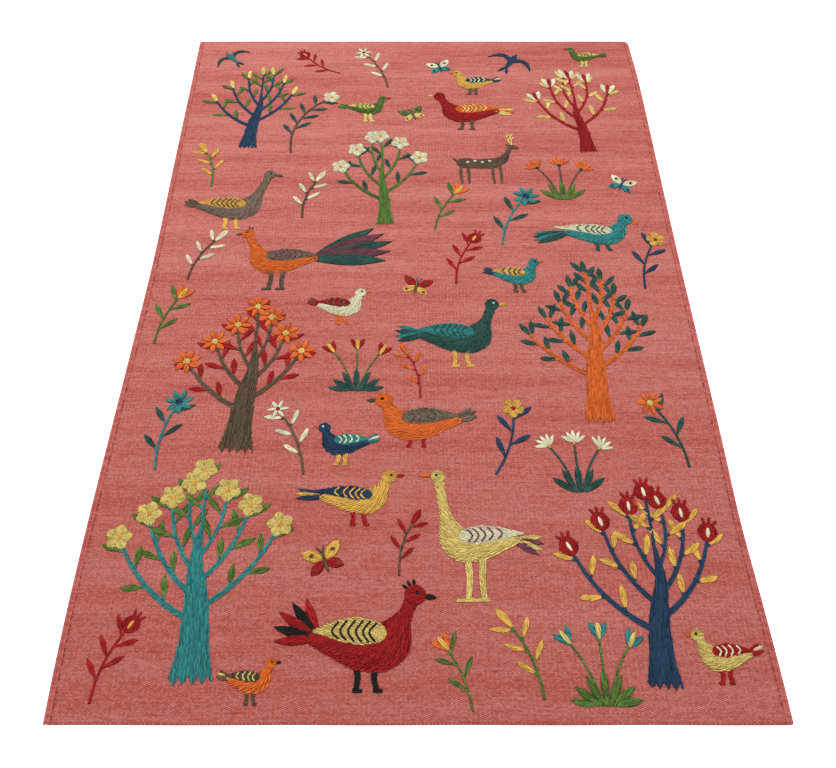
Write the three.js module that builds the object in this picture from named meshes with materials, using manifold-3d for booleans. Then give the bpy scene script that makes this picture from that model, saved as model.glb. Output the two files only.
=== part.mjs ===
// Suzani kilim rug: a flat woven cloth with raised worked motifs.
// Millimetres, +Z up, with the far end of the rug at +Y.
import * as THREE from 'three';
import Module from 'manifold-3d';

const wasm = await Module();
wasm.setup();
const { CrossSection } = wasm;

const RUG = { width: 1200, length: 1800, thickness: 3 };
const GAP = 0.3;
const RELIEF = 1.5;
const COARSENESS = 1.5;
const SMALLEST_HOLE = 200;

// How far each long edge bows outward from its straight line, by place along the rug
const EDGE_BOW = [
  { y: -900, left: 0, right: 0 },
  { y: -820, left: 2.5, right: -0.5 },
  { y: -700, left: 4, right: -3 },
  { y: -550, left: 3, right: -7 },
  { y: -380, left: 0, right: -5 },
  { y: -180, left: -4, right: -4 },
  { y: 90, left: -8, right: -3 },
  { y: 400, left: -5, right: 0.5 },
  { y: 730, left: -2, right: 4 },
  { y: 900, left: 0, right: 0 },
];
const CORNER_RADIUS = { nearLeft: 2, nearRight: 5, farLeft: 8, farRight: 15 };

// Height of the cloth's top above its thickness, by distance in from a long edge: two selvedge cords
const SELVEDGE = [
  { inward: 0, rise: -1.4 },
  { inward: 2.4, rise: 0.8 },
  { inward: 4.9, rise: -0.4 },
  { inward: 7.4, rise: 0.7 },
  { inward: 10, rise: 0 },
];
// The same for the row of twining at each end
const END_ROW = [
  { inward: 0, rise: -1.2 },
  { inward: 2.6, rise: 0.6 },
  { inward: 5.6, rise: 0 },
];
const PLAIN_COLUMNS = 5;
const PLAIN_ROWS = 24;
const CORNER_ROWS = [10, 15];
const THINNEST_EDGE = 1;

const YARN = {
  orange: 0xcf5d30, red: 0xa22528, forest: 0x365449, teal: 0x308b93, navy: 0x2a3e52, straw: 0xc8ae64,
  gold: 0xd69c56, cream: 0xd1c0a2, leaf: 0x4c6633, bark: 0x625242, stone: 0x806d5e,
};
const GROUND = 0xbe6a60;

const lerp = THREE.MathUtils.lerp;

/** The point `long` from the origin in the direction `degrees`. */
function polar(degrees, long) {
  const angle = THREE.MathUtils.degToRad(degrees);
  return [Math.cos(angle) * long, Math.sin(angle) * long];
}

const plus = (a, b) => [a[0] + b[0], a[1] + b[1]];
const minus = (a, b) => [a[0] - b[0], a[1] - b[1]];

/** A hand's unevenness: a fixed value from -1 to 1 for each count and seed. */
const uneven = (count, seed) => Math.sin(12.9 * count + 7.3 * seed);

/** The Catmull-Rom curve through rows of numbers, at t from 0 to 1 over all of them. */
function spline(rows, t) {
  const last = rows.length - 1;
  const mirrored = (a, b) => a.map((v, i) => 2 * v - b[i]);
  const padded = [mirrored(rows[0], rows[1]), ...rows, mirrored(rows[last], rows[last - 1])];
  const at = Math.min(Math.max(t, 0), 1) * last;
  const k = Math.min(Math.floor(at), last - 1);
  const f = at - k;
  const [a, b, c, d] = padded.slice(k, k + 4);
  return a.map((_, i) => 0.5 * (2 * b[i] + (c[i] - a[i]) * f
    + (2 * a[i] - 5 * b[i] + 4 * c[i] - d[i]) * f ** 2 + (3 * b[i] - a[i] - 3 * c[i] + d[i]) * f ** 3));
}

/** A patch of work: rows of [x, y, reach to the left, reach to the right] along its spine. */
function patch(spine, { steps = 1, roundStart = 0, roundEnd = 0 } = {}) {
  return { spine, steps, roundStart, roundEnd };
}

/** The closed outline of a patch, up its left side and back down its right. */
function outline({ spine, steps, roundStart, roundEnd }) {
  const count = steps * (spine.length - 1) + 1;
  const rounded = roundStart > 0 || roundEnd > 0;
  const rows = Array.from({ length: count }, (_, i) => {
    const t = i / (count - 1);
    return spline(spine, rounded ? (1 - Math.cos(Math.PI * t)) / 2 : t);
  });
  const along = [0];
  for (let i = 1; i < count; i += 1) along.push(along[i - 1] + Math.hypot(...minus(rows[i], rows[i - 1])));
  const total = along[count - 1];
  const cap = (distance, radius) => (radius ? Math.sqrt(1 - Math.max(1 - distance / radius, 0) ** 2) : 1);
  const side = (hand, column) => rows.map((row, i) => {
    const ahead = rows[Math.min(i + 1, count - 1)];
    const behind = rows[Math.max(i - 1, 0)];
    const [dx, dy] = minus(ahead, behind);
    const long = Math.hypot(dx, dy) || 1;
    const reach = Math.max(row[column], 0) * cap(along[i], roundStart) * cap(total - along[i], roundEnd);
    return [row[0] - (hand * dy * reach) / long, row[1] + (hand * dx * reach) / long];
  });
  return [...side(1, 2), ...side(-1, 3).reverse()];
}

/** A round dot. */
function dot([x, y], radius, turn = 0) {
  const [dx, dy] = polar(turn, radius);
  const spine = [[x - dx, y - dy, radius, radius], [x + dx, y + dy, radius, radius]];
  return patch(spine, { steps: 4, roundStart: radius, roundEnd: radius });
}

/** A leaf or petal from its base, fullest a little past its middle. */
function lens(base, turn, long, wide) {
  const shape = [[-0.06, 0.24], [0.3, 0.86], [0.6, 0.96], [0.85, 0.5], [1, 0.05]];
  return patch(shape.map(([s, w]) => [...plus(base, polar(turn, long * s)), (wide * w) / 2, (wide * w) / 2]));
}

/** A line of stitching through points, from `width` to `width` times `taper`. */
function stroke(points, width, taper = 1) {
  const half = (i) => (width / 2) * lerp(1, taper, i / (points.length - 1));
  return patch(points.map((point, i) => [...point, half(i), half(i)]));
}

/** Points along a bough that leaves `start` at `turn` and bends by `curl` degrees over its length. */
function bough(start, turn, long, curl) {
  const parts = 4;
  const points = [start];
  for (let k = 0; k < parts; k += 1) {
    points.push(plus(points[k], polar(turn + (curl * (k + 0.5)) / parts, long / parts)));
  }
  return points;
}

const ring = (count, make) => Array.from({ length: count }, (_, k) => make((360 * k) / count));

/** The flower heads, each from where its stem ends, in the direction `turn`, of about radius `r`. */
const BLOSSOM = {
  rosette(at, turn, r) {
    const middle = plus(at, polar(turn, r * 0.7));
    const petals = ring(5, (a) => dot(plus(middle, polar(turn + a + 36, r * 0.56)), r * 0.44, turn + a + 36));
    return [...petals, dot(middle, r * 0.28, turn)];
  },
  daisy(at, turn, r) {
    const middle = plus(at, polar(turn, r * 0.6));
    const petals = ring(7, (a) => lens(plus(middle, polar(turn + a, r * 0.16)), turn + a, r * 0.9, r * 0.46));
    return [...petals, dot(middle, r * 0.3, turn)];
  },
  tulip(at, turn, r) {
    const outer = [-27, 27].map((a) => lens(at, turn + a, r * 1.5, r * 0.62));
    return [...outer, lens(at, turn, r * 1.35, r * 0.5)];
  },
  pomegranate(at, turn, r) {
    const middle = plus(at, polar(turn, r * 0.75));
    const rim = (a) => plus(middle, polar(turn + a, r * 0.66));
    const crown = [-24, 0, 24].map((a) => lens(rim(a), turn + a * 1.2, r * 0.62, r * 0.3));
    return [dot(middle, r * 0.78, turn), ...crown];
  },
  bud: (at, turn, r) => [lens(at, turn, r * 1.7, r * 0.72)],
  star(at, turn, r) {
    const middle = plus(at, polar(turn, r * 0.75));
    return ring(6, (a) => lens(middle, turn + a, r, r * 0.36));
  },
  fan(at, turn, r) {
    const petals = [-56, -28, 0, 28, 56].map((a) => lens(at, turn + a, r * 1.35, r * 0.42));
    return [...petals, dot(at, r * 0.22, turn)];
  },
};

/** A bough with leaves to each side and a blossom at its tip. */
function spray(limb, start = [0, 0], turn = 90, side = 1, seed = 0) {
  const { long, curl, width, leaves, leaf, tip, size, thick = 1.2 } = limb;
  const points = bough(start, turn, long, curl * side);
  const out = [stroke(points, width * thick, 0.9 / thick)];
  for (let k = 0; k < leaves; k += 1) {
    const s = lerp(0.3, 0.93, k / Math.max(leaves - 1, 1));
    const at = spline(points, s);
    const hand = k % 2 === 0 ? side : -side;
    const away = turn + curl * side * s + hand * (42 + 8 * uneven(k, seed));
    const foot = plus(at, polar(away, leaf * 0.3));
    out.push(stroke([at, foot], width));
    out.push(lens(foot, away, leaf * (1 + 0.12 * uneven(k, seed + 1)), leaf * 0.37));
  }
  return [...out, ...BLOSSOM[tip](points[points.length - 1], turn + curl * side, size)];
}

/** A trunk with a ragged foot, and sprays that leave it by turns to the left and the right. */
function tree({ height: h, trunk: w, lean, boughs, reach, seed, limb }) {
  const trunk = [
    [0, 0, w * 0.56, w * 0.56], [lean * 0.1, h * 0.12, w * 0.42, w * 0.42],
    [lean * 0.4, h * 0.30, w * 0.34, w * 0.34], [lean, h * 0.48, w * 0.2, w * 0.2],
    [lean * 0.9, h * 0.66, limb.width * 0.6, limb.width * 0.6],
  ];
  const tooth = (x) => lens([x * w, w * 0.14], -90, w * 0.4, w * 0.25);
  const out = [patch(trunk, { steps: 2 }), ...[-0.41, -0.17, 0.07, 0.31, 0.48].map(tooth)];
  for (let k = 0; k < boughs; k += 1) {
    const s = (k + 0.5) / boughs;
    const side = k % 2 === 0 ? 1 : -1;
    const [x, y, half] = spline(trunk, 0.4 + 0.5 * s);
    const start = [x - side * half * 0.4, y - half * 0.5];
    const long = reach * (1 - 0.36 * s) * (1 + 0.12 * uneven(k, seed));
    out.push(...spray({ ...limb, long, thick: 2.6 - 1.2 * s }, start, 90 + side * (66 - 40 * s), -side, seed + k));
  }
  const [x, y] = trunk[trunk.length - 1];
  return [...out, ...spray({ ...limb, long: reach * 0.5, curl: 6 }, [x, y - 2], 90 - lean * 0.1, 1, seed)];
}

/** A tuft of blades with blossoms on stems among them. */
function clump({ height: h, blades, stems, tip, size }) {
  const half = 3.4 * (blades - 1);
  const out = [stroke([[-half, -2], [half, -2]], 8)];
  for (let k = 0; k < stems; k += 1) {
    const a = 26 * (k - (stems - 1) / 2);
    const points = bough([a * 0.3, 0], 90 - a * 0.5, h * (0.94 + 0.1 * uneven(k, 2)), -a * 0.9);
    out.push(stroke(points, 4.6, 0.9), ...BLOSSOM[tip](points[points.length - 1], 90 - a * 1.3, size));
  }
  for (let k = 0; k < blades; k += 1) {
    const a = 27 * (k - (blades - 1) / 2);
    out.push(lens([a * 0.25, -3], 90 - a, h * (0.56 - 0.0018 * Math.abs(a)), h * 0.15));
  }
  return out;
}

/** A bird from the side, facing +X, with the middle of its body at the origin. */
function bird(sizes) {
  const { long: L, deep: D, reach, rise, head: h, beak, gaze } = sizes;
  const { tail, lift, spread, feathers, leg, wing, crest } = sizes;
  const n = h * 0.72;
  const crown = [0.40 * L + reach, 0.36 * D + rise];
  const out = [];
  for (let k = 0; k < feathers; k += 1) {
    const off = k - (feathers - 1) / 2;
    const wide = Math.max(tail * 0.2, D * 0.2);
    out.push(lens([-0.44 * L, 0.05 * D], 180 - lift + off * spread, tail * (1 - 0.06 * Math.abs(off)), wide));
  }
  for (const [s, bend] of [[-0.04, 3], [0.16, -3]]) {
    const [x, y] = [s * L, -0.40 * D];
    const foot = y - leg;
    out.push(stroke([[x, y], [x + bend, (y + foot) / 2], [x + 1, foot]], leg * 0.07 + 8, 0.75));
    out.push(stroke([[x - 0.12 * leg, foot - 1], [x + 1 + leg * 0.28, foot - 2]], 8, 0.6));
  }
  const body = [
    [-0.54 * L, 0.05 * D, 0.06 * D, 0.08 * D],
    [-0.30 * L, 0.04 * D, 0.24 * D, 0.30 * D],
    [0, 0, 0.38 * D, 0.50 * D],
    [0.25 * L, 0.08 * D, 0.32 * D, 0.52 * D],
    [0.38 * L + 0.20 * reach, 0.30 * D + 0.28 * rise, n * 0.9, n * 1.5],
    [0.40 * L + 0.62 * reach, 0.35 * D + 0.66 * rise, n * 0.9, n],
    [...crown, h * 0.75, h * 0.75],
  ];
  const folded = [
    [0.26 * L, 0.13 * D, 0.12 * D, 0.14 * D],
    [0.06 * L, 0.16 * D, 0.22 * D, 0.24 * D],
    [-0.20 * L, 0.14 * D + wing * 0.10, 0.19 * D, 0.22 * D],
    [-0.26 * L - wing, 0.08 * D + wing * 0.22, 0.02 * D, 0.03 * D],
  ];
  out.push(patch(body, { steps: 2 }), patch(folded, { steps: 2, roundStart: 0.12 * D }));
  out.push(lens(plus(crown, polar(gaze, h * 0.72)), gaze, beak, h * 0.62), dot(crown, h, gaze));
  for (let k = 0; k < crest; k += 1) {
    out.push(lens(plus(crown, polar(95 + 22 * k, h * 0.8)), 95 + 24 * k, h * 0.75, h * 0.34));
  }
  return out;
}

/** A bird on the wing, seen from above, flying towards +Y. */
function flyer({ span: s, fork }) {
  const out = [];
  for (const side of [1, -1]) {
    out.push(patch([
      [0.02 * s * side, 0.05 * s, 0.07 * s, 0.07 * s], [0.2 * s * side, 0.13 * s, 0.06 * s, 0.06 * s],
      [0.37 * s * side, 0.06 * s, 0.045 * s, 0.045 * s], [0.5 * s * side, -0.1 * s, 0.006 * s, 0.006 * s],
    ], { steps: 2 }));
    out.push(lens([0, -0.2 * s], -90 + side * fork, 0.24 * s, 0.075 * s));
  }
  out.push(patch([
    [0, -0.26 * s, 0.02 * s, 0.02 * s], [0, -0.08 * s, 0.06 * s, 0.06 * s],
    [0, 0.12 * s, 0.07 * s, 0.07 * s], [0, 0.25 * s, 0.045 * s, 0.045 * s],
  ], { steps: 2, roundEnd: 0.05 * s }));
  return [...out, lens([0, 0.24 * s], 90, 0.07 * s, 0.035 * s)];
}

/** A butterfly with its four wings spread, its head towards +Y. */
function butterfly({ span: s }) {
  const out = [lens([0, -0.24 * s], 90, 0.46 * s, 0.09 * s)];
  for (const mirror of [(a) => a, (a) => 180 - a]) {
    out.push(lens(polar(mirror(38), 0.03 * s), mirror(38), 0.52 * s, 0.3 * s));
    out.push(lens(polar(mirror(-32), 0.03 * s), mirror(-32), 0.4 * s, 0.26 * s));
    const root = polar(90, 0.16 * s);
    out.push(stroke([root, plus(root, polar(mirror(66), 0.2 * s))], 3.2, 0.8));
  }
  return out;
}

/** A deer from the side, facing +X, its middle at the origin. */
function deer({ long: L }) {
  const out = [];
  for (const [x, lean] of [[-0.36, -1.8], [-0.24, 1.2], [0.20, -0.9], [0.32, 1.8]]) {
    const leg = [[x * L, -0.06 * L], [x * L + lean, -0.26 * L], [(x + 0.01) * L, -0.5 * L]];
    out.push(stroke(leg, 0.06 * L, 0.6));
  }
  const crown = [0.56 * L, 0.44 * L];
  const root = plus(crown, [0, 0.04 * L]);
  for (const [turn, tine] of [[118, 60], [84, 50]]) {
    const beam = bough(root, turn, 0.3 * L, turn > 90 ? -24 : 24);
    out.push(stroke(beam, 4.5, 0.8));
    for (const s of [0.45, 0.75]) {
      const from = spline(beam, s);
      out.push(stroke([from, plus(from, polar(tine, 0.09 * L))], 4, 0.8));
    }
  }
  out.push(patch([
    [-0.44 * L, 0.02 * L, 0.05 * L, 0.05 * L],
    [-0.34 * L, 0.02 * L, 0.12 * L, 0.13 * L],
    [-0.1 * L, 0, 0.12 * L, 0.12 * L],
    [0.18 * L, 0.02 * L, 0.12 * L, 0.14 * L],
    [0.38 * L, 0.14 * L, 0.07 * L, 0.12 * L],
    [0.48 * L, 0.3 * L, 0.05 * L, 0.05 * L],
    [...crown, 0.045 * L, 0.045 * L],
  ], { steps: 2, roundStart: 0.05 * L }));
  out.push(lens([-0.43 * L, 0.06 * L], 130, 0.12 * L, 0.05 * L));
  out.push(lens(minus(crown, polar(-22, 0.05 * L)), -22, 0.2 * L, 0.1 * L));
  return [...out, lens(plus(crown, [-0.02 * L, 0.02 * L]), 150, 0.1 * L, 0.045 * L)];
}

/** Named rows under named columns, as objects. */
function table(columns, rows) {
  const named = (values) => Object.fromEntries(columns.map((column, i) => [column, values[i]]));
  return Object.fromEntries(Object.entries(rows).map(([name, values]) => [name, named(values)]));
}

const SPRAY = table(['long', 'curl', 'width', 'leaves', 'leaf', 'tip', 'size'], {
  gold: [130, 34, 4.4, 5, 31, 'bud', 24],
  blue: [140, 32, 4.4, 4, 34, 'rosette', 23],
  orange: [140, 32, 4.4, 4, 34, 'daisy', 27],
  lime: [130, 30, 4.4, 4, 34, 'tulip', 26],
  plum: [130, -34, 4.4, 5, 31, 'pomegranate', 22],
  teal: [140, -30, 4.4, 4, 34, 'daisy', 28],
  cream: [130, -36, 4.4, 5, 31, 'bud', 24],
  white: [150, 30, 4.4, 5, 32, 'star', 24],
  long: [230, -62, 5, 8, 34, 'rosette', 23],
});
// A tree's boughs: their length comes from the tree's reach
const LIMB = table(['curl', 'width', 'leaves', 'leaf', 'tip', 'size'], {
  teal: [34, 4.8, 4, 36, 'rosette', 24],
  navy: [40, 4.8, 4, 36, 'pomegranate', 23],
  bark: [30, 5, 4, 36, 'daisy', 28],
  orange: [30, 4.8, 5, 36, 'bud', 20],
  leaf: [36, 4.4, 3, 32, 'rosette', 23],
  plum: [44, 4.6, 4, 34, 'tulip', 27],
  gold: [36, 4.6, 4, 32, 'bud', 20],
});
const TREE = table(['height', 'trunk', 'lean', 'boughs', 'reach', 'seed', 'limb'], {
  teal: [390, 62, -18, 7, 175, 0.3, LIMB.teal],
  navy: [350, 50, 22, 6, 165, 1.1, LIMB.navy],
  bark: [370, 60, 14, 6, 160, 2.2, LIMB.bark],
  orange: [440, 56, 16, 8, 180, 3.1, LIMB.orange],
  leaf: [300, 36, -10, 5, 150, 4.2, LIMB.leaf],
  plum: [310, 40, -14, 5, 160, 5.2, LIMB.plum],
  gold: [320, 42, 16, 6, 150, 1.7, LIMB.gold],
});
const CLUMP = table(['height', 'blades', 'stems', 'tip', 'size'], {
  red: [120, 7, 3, 'tulip', 25],
  orange: [110, 5, 3, 'fan', 24],
});
const BIRD = table([
  'long', 'deep', 'reach', 'rise', 'head', 'beak', 'gaze',
  'tail', 'lift', 'spread', 'feathers', 'leg', 'wing', 'crest',
], {
  hen: [150, 88, 22, 40, 17, 22, -8, 74, 34, 19, 5, 34, 34, 3],
  crane: [140, 74, 16, 104, 14, 26, 4, 58, -14, 13, 4, 76, 46, 0],
  duck: [150, 80, 14, 22, 19, 22, 0, 48, 26, 15, 3, 20, 36, 0],
  pheasant: [150, 78, 26, 52, 15, 18, -6, 190, 16, 9, 5, 52, 40, 2],
  dove: [124, 60, 14, 24, 15, 18, 6, 60, 8, 10, 3, 26, 48, 0],
  finch: [84, 48, 8, 20, 12, 14, 8, 40, 12, 12, 3, 30, 26, 0],
  wren: [92, 54, 8, 18, 13, 14, 6, 34, 26, 14, 3, 24, 28, 0],
  goose: [150, 76, 26, 84, 15, 24, -10, 46, 20, 14, 3, 36, 38, 0],
  parrot: [140, 66, 16, 22, 18, 20, -30, 92, -12, 7, 4, 22, 62, 0],
  fowl: [152, 84, 20, 56, 16, 20, 0, 66, 4, 13, 4, 40, 44, 0],
  partridge: [146, 76, 20, 36, 16, 20, 4, 54, 0, 14, 4, 34, 40, 0],
});

// Where each motif lies on the cloth, its turn in degrees, its size, and 1 where it is mirrored
const MOTIF = table(['yarn', 'patches', 'x', 'y', 'turn', 'size', 'mirrored'], {
  tree_teal: ['teal', tree(TREE.teal), -375, -825, 0, 1.06, 0],
  tree_navy: ['navy', tree(TREE.navy), 405, -835, 0, 1.05, 0],
  hen: ['red', bird(BIRD.hen), -96, -768, 0, 1.12, 0],
  crane: ['straw', bird(BIRD.crane), 112, -590, 0, 1, 1],
  sprig_gold: ['gold', spray(SPRAY.gold), 205, -862, 4, 1, 0],
  moth_gold: ['gold', butterfly({ span: 84 }), -165, -625, 20, 1, 0],
  dove: ['gold', bird(BIRD.dove), -115, -505, 0, 1, 0],
  sprig_blue: ['navy', spray(SPRAY.blue), 150, -455, -34, 1, 0],
  sprig_orange: ['orange', spray(SPRAY.orange), 520, -440, 2, 1, 0],
  tree_bark: ['bark', tree(TREE.bark), -350, -395, 0, 1.02, 0],
  duck: ['orange', bird(BIRD.duck), 10, -340, 0, 1, 1],
  tree_orange: ['orange', tree(TREE.orange), 365, -330, 0, 1, 0],
  fowl: ['forest', bird(BIRD.fowl), 85, -130, 0, 1, 0],
  clump_red: ['forest', clump(CLUMP.red), -122, -262, 0, 0.82, 0],
  sprig_lime: ['leaf', spray(SPRAY.lime), -550, -150, 0, 1, 1],
  pheasant: ['orange', bird(BIRD.pheasant), -300, 85, 0, 1, 1],
  sprig_plum: ['red', spray(SPRAY.plum), 90, 15, 0, 1, 0],
  tree_leaf: ['leaf', tree(TREE.leaf), -70, 200, 0, 1.05, 0],
  parrot: ['teal', bird(BIRD.parrot), 420, 165, 0, 1, 0],
  goose: ['stone', bird(BIRD.goose), -440, 250, 0, 1, 0],
  sprig_cream: ['cream', spray(SPRAY.cream), -265, 215, 6, 1, 0],
  sprig_teal: ['teal', spray(SPRAY.teal), 200, 130, -6, 1.1, 0],
  deer: ['bark', deer({ long: 140 }), 165, 400, 0, 1, 0],
  clump_orange: ['leaf', clump(CLUMP.orange), 356, 282, 0, 1, 0],
  moth_cream: ['cream', butterfly({ span: 76 }), 500, 325, -25, 1, 0],
  tree_gold: ['navy', tree(TREE.gold), -420, 465, 0, 1, 0],
  bough_white: ['bark', spray(SPRAY.long), -310, 440, 10, 1, 0],
  tree_plum: ['red', tree(TREE.plum), 435, 448, 0, 1, 0],
  partridge: ['red', bird(BIRD.partridge), 145, 595, 0, 1, 1],
  finch: ['leaf', bird(BIRD.finch), -125, 610, 0, 1, 0],
  sprig_white: ['cream', spray(SPRAY.white), -70, 695, 8, 1, 0],
  fly_navy: ['navy', flyer({ span: 130, fork: 26 }), 265, 805, -30, 1, 0],
  fly_teal: ['teal', flyer({ span: 112, fork: 20 }), -500, 822, 40, 0.95, 0],
  sprig_far: ['red', spray(SPRAY.plum), -200, 755, 70, 0.9, 0],
  finch_far: ['leaf', bird(BIRD.finch), 470, 828, 0, 0.85, 1],
  moth_far: ['cream', butterfly({ span: 76 }), 70, 780, 15, 1, 0],
  sprig_berry: ['red', spray(SPRAY.plum), -532, -868, 0, 0.95, 0],
  clump_teal: ['leaf', clump(CLUMP.red), 306, -866, 0, 0.85, 0],
  sprig_star: ['cream', spray(SPRAY.white), -215, -455, 6, 0.95, 0],
  sprig_sea: ['teal', spray(SPRAY.teal), -498, -445, 8, 1, 0],
  clump_cream: ['cream', clump(CLUMP.orange), 306, -486, 0, 0.9, 0],
  wren_cream: ['cream', bird(BIRD.wren), -165, -48, 0, 1, 0],
  moth_red: ['red', butterfly({ span: 76 }), 2, 6, -15, 1, 0],
  wren_teal: ['teal', bird(BIRD.wren), 222, 40, 0, 1, 0],
  sprig_snow: ['cream', spray(SPRAY.cream), -506, 26, -4, 1, 0],
  sprig_dusk: ['navy', spray(SPRAY.blue), 506, 0, 0, 1, 1],
  sprig_moss: ['leaf', spray(SPRAY.lime), 46, 178, -8, 1, 1],
  sprig_sun: ['gold', spray(SPRAY.gold), -492, 318, -4, 1, 0],
  moth_leaf: ['leaf', butterfly({ span: 76 }), -4, 585, 20, 1, 0],
  wren_gold: ['gold', bird(BIRD.wren), 162, 716, 0, 1, 1],
  sprig_ember: ['leaf', spray(SPRAY.lime), 88, -880, 6, 0.82, 0],
  wren_straw: ['straw', bird(BIRD.wren), 514, -792, 0, 0.92, 1],
  wren_ember: ['orange', bird(BIRD.wren), -278, -832, 0, 0.76, 0],
  sprig_rose: ['red', spray(SPRAY.gold), -32, -654, 4, 0.8, 1],
  wren_navy: ['navy', bird(BIRD.wren), -138, -388, 0, 0.95, 1],
  sprig_coral: ['orange', spray(SPRAY.gold), 8, -284, -4, 0.85, 0],
});

/** A value from a table of rows, read between the two rows that hold `at` in `column`. */
function between(table, column, value, at) {
  const next = Math.max(table.findIndex((row) => row[column] >= at), 1);
  const [a, b] = [table[next - 1], table[next]];
  return lerp(a[value], b[value], (at - a[column]) / (b[column] - a[column]));
}

/** The edge bow at y, as a smooth curve through the table. */
function bow(side, y) {
  const next = Math.max(EDGE_BOW.findIndex((row) => row.y >= y), 1);
  const part = (y - EDGE_BOW[next - 1].y) / (EDGE_BOW[next].y - EDGE_BOW[next - 1].y);
  return spline(EDGE_BOW.map((row) => [row[side]]), (next - 1 + part) / (EDGE_BOW.length - 1))[0];
}

/** How far a long edge draws in where its corner is rounded. */
function cornerInset(side, y) {
  const end = y < 0 ? 'near' : 'far';
  const radius = CORNER_RADIUS[end + (side === 'left' ? 'Left' : 'Right')];
  const left = Math.max(radius - (RUG.length / 2 - Math.abs(y)), 0);
  return radius - Math.sqrt(radius ** 2 - left ** 2);
}

/** Places from edge to edge across `full`: the table's steps by each edge, and `plain` even ones between. */
function stations(table, full, plain) {
  const near = table.map((row) => row.inward);
  const inner = near[near.length - 1];
  const even = Array.from({ length: plain }, (_, i) => lerp(inner, full - inner, (i + 1) / (plain + 1)));
  return [...near, ...even, ...near.map((s) => full - s).reverse()];
}

/** The cloth: a closed sheet whose top follows the selvedge cords and the end rows. */
function clothGeometry() {
  const across = stations(SELVEDGE, RUG.width, PLAIN_COLUMNS);
  const corners = [...CORNER_ROWS, ...CORNER_ROWS.map((s) => RUG.length - s)];
  const along = [...stations(END_ROW, RUG.length, PLAIN_ROWS), ...corners].sort((a, b) => a - b);
  const rise = (table, s, full) => {
    const inward = Math.min(s, full - s);
    return inward >= table[table.length - 1].inward ? 0 : between(table, 'inward', 'rise', inward);
  };
  const points = along.flatMap((v) => across.map((u) => {
    const y = v - RUG.length / 2;
    const left = -RUG.width / 2 - bow('left', y) + cornerInset('left', y);
    const right = RUG.width / 2 + bow('right', y) - cornerInset('right', y);
    const x = left + (u * (right - left)) / RUG.width;
    const rises = [rise(SELVEDGE, u, RUG.width), rise(END_ROW, v, RUG.length)];
    const lift = Math.max(...rises, 0) + Math.min(rises[0], 0) + Math.min(rises[1], 0);
    return [x, y, Math.max(RUG.thickness + lift, THINNEST_EDGE)];
  }));
  const columns = across.length;
  const rows = along.length;
  const floorFrom = points.length;
  const vertices = [...points, ...points.map(([x, y]) => [x, y, 0])].flat();
  const faces = [];
  const quad = (a, b, c, d) => faces.push(a, b, c, a, c, d);
  for (let j = 0; j < rows - 1; j += 1) {
    for (let i = 0; i < columns - 1; i += 1) {
      const k = j * columns + i;
      quad(k, k + 1, k + columns + 1, k + columns);
      quad(floorFrom + k, floorFrom + k + columns, floorFrom + k + columns + 1, floorFrom + k + 1);
    }
  }
  const wall = (a, b) => quad(b, a, floorFrom + a, floorFrom + b);
  for (let i = 0; i < columns - 1; i += 1) {
    wall(i, i + 1);
    wall((rows - 1) * columns + i + 1, (rows - 1) * columns + i);
  }
  for (let j = 0; j < rows - 1; j += 1) {
    wall((j + 1) * columns, j * columns);
    wall(j * columns + columns - 1, (j + 1) * columns + columns - 1);
  }
  const geometry = new THREE.BufferGeometry();
  geometry.setAttribute('position', new THREE.Float32BufferAttribute(vertices, 3));
  geometry.setIndex(faces);
  geometry.computeVertexNormals();
  return geometry;
}

/** A closed manifold as a three.js geometry. */
function toGeometry(solid) {
  const mesh = solid.getMesh();
  const geometry = new THREE.BufferGeometry();
  geometry.setAttribute('position', new THREE.BufferAttribute(mesh.vertProperties, 3));
  geometry.setIndex(new THREE.BufferAttribute(mesh.triVerts, 1));
  geometry.computeVertexNormals();
  return geometry;
}

/** The signed area of a closed polygon. */
const polygonArea = (points) => THREE.ShapeUtils.area(points.map(([x, y]) => new THREE.Vector2(x, y)));

/** A motif's raised work: the union of its patches, with pinholes filled, of one thickness. */
function motifGeometry(patches, size, mirrored) {
  const place = ([x, y]) => [(mirrored ? -x : x) * size, y * size];
  const outlines = patches.map((p) => new CrossSection([outline(p).map(place)], 'NonZero'));
  const kept = (area) => area > 0 || area < -SMALLEST_HOLE;
  const rings = CrossSection.union(outlines).toPolygons().filter((points) => kept(polygonArea(points)));
  const shape = new CrossSection(rings, 'Positive').simplify(COARSENESS);
  return toGeometry(shape.extrude(RELIEF));
}

const rug = new THREE.Group();

const wool = (color, roughness) => new THREE.MeshStandardMaterial({ color, roughness, metalness: 0 });

const cloth = new THREE.Mesh(clothGeometry(), wool(GROUND, 0.95));
cloth.name = 'cloth';
rug.add(cloth);

const work = new THREE.Group();
work.position.z = RUG.thickness + GAP;
rug.add(work);
for (const [name, { yarn, patches, x, y, turn, size, mirrored }] of Object.entries(MOTIF)) {
  const motif = new THREE.Mesh(motifGeometry(patches, size, mirrored), wool(YARN[yarn], 0.7));
  motif.name = name;
  motif.position.set(x, y, 0);
  motif.rotation.z = THREE.MathUtils.degToRad(turn);
  work.add(motif);
}

export default rug;
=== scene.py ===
"""The looks of the suzani kilim rug: a weft-faced wool cloth with cord selvedges, worked all over in yarn.

Every motif is made of patches, a patch is a spine with a reach to each side, and every patch is filled
with single stitches. The cloth, its cords and its end rows are surfaces of their own. Sizes are in
millimetres until a mesh is made, and angles are in degrees until a sine or cosine is taken.
"""

from __future__ import annotations

import logging
import math
from collections.abc import Sequence
from dataclasses import dataclass, field, replace
from enum import Enum
from typing import Any

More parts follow.
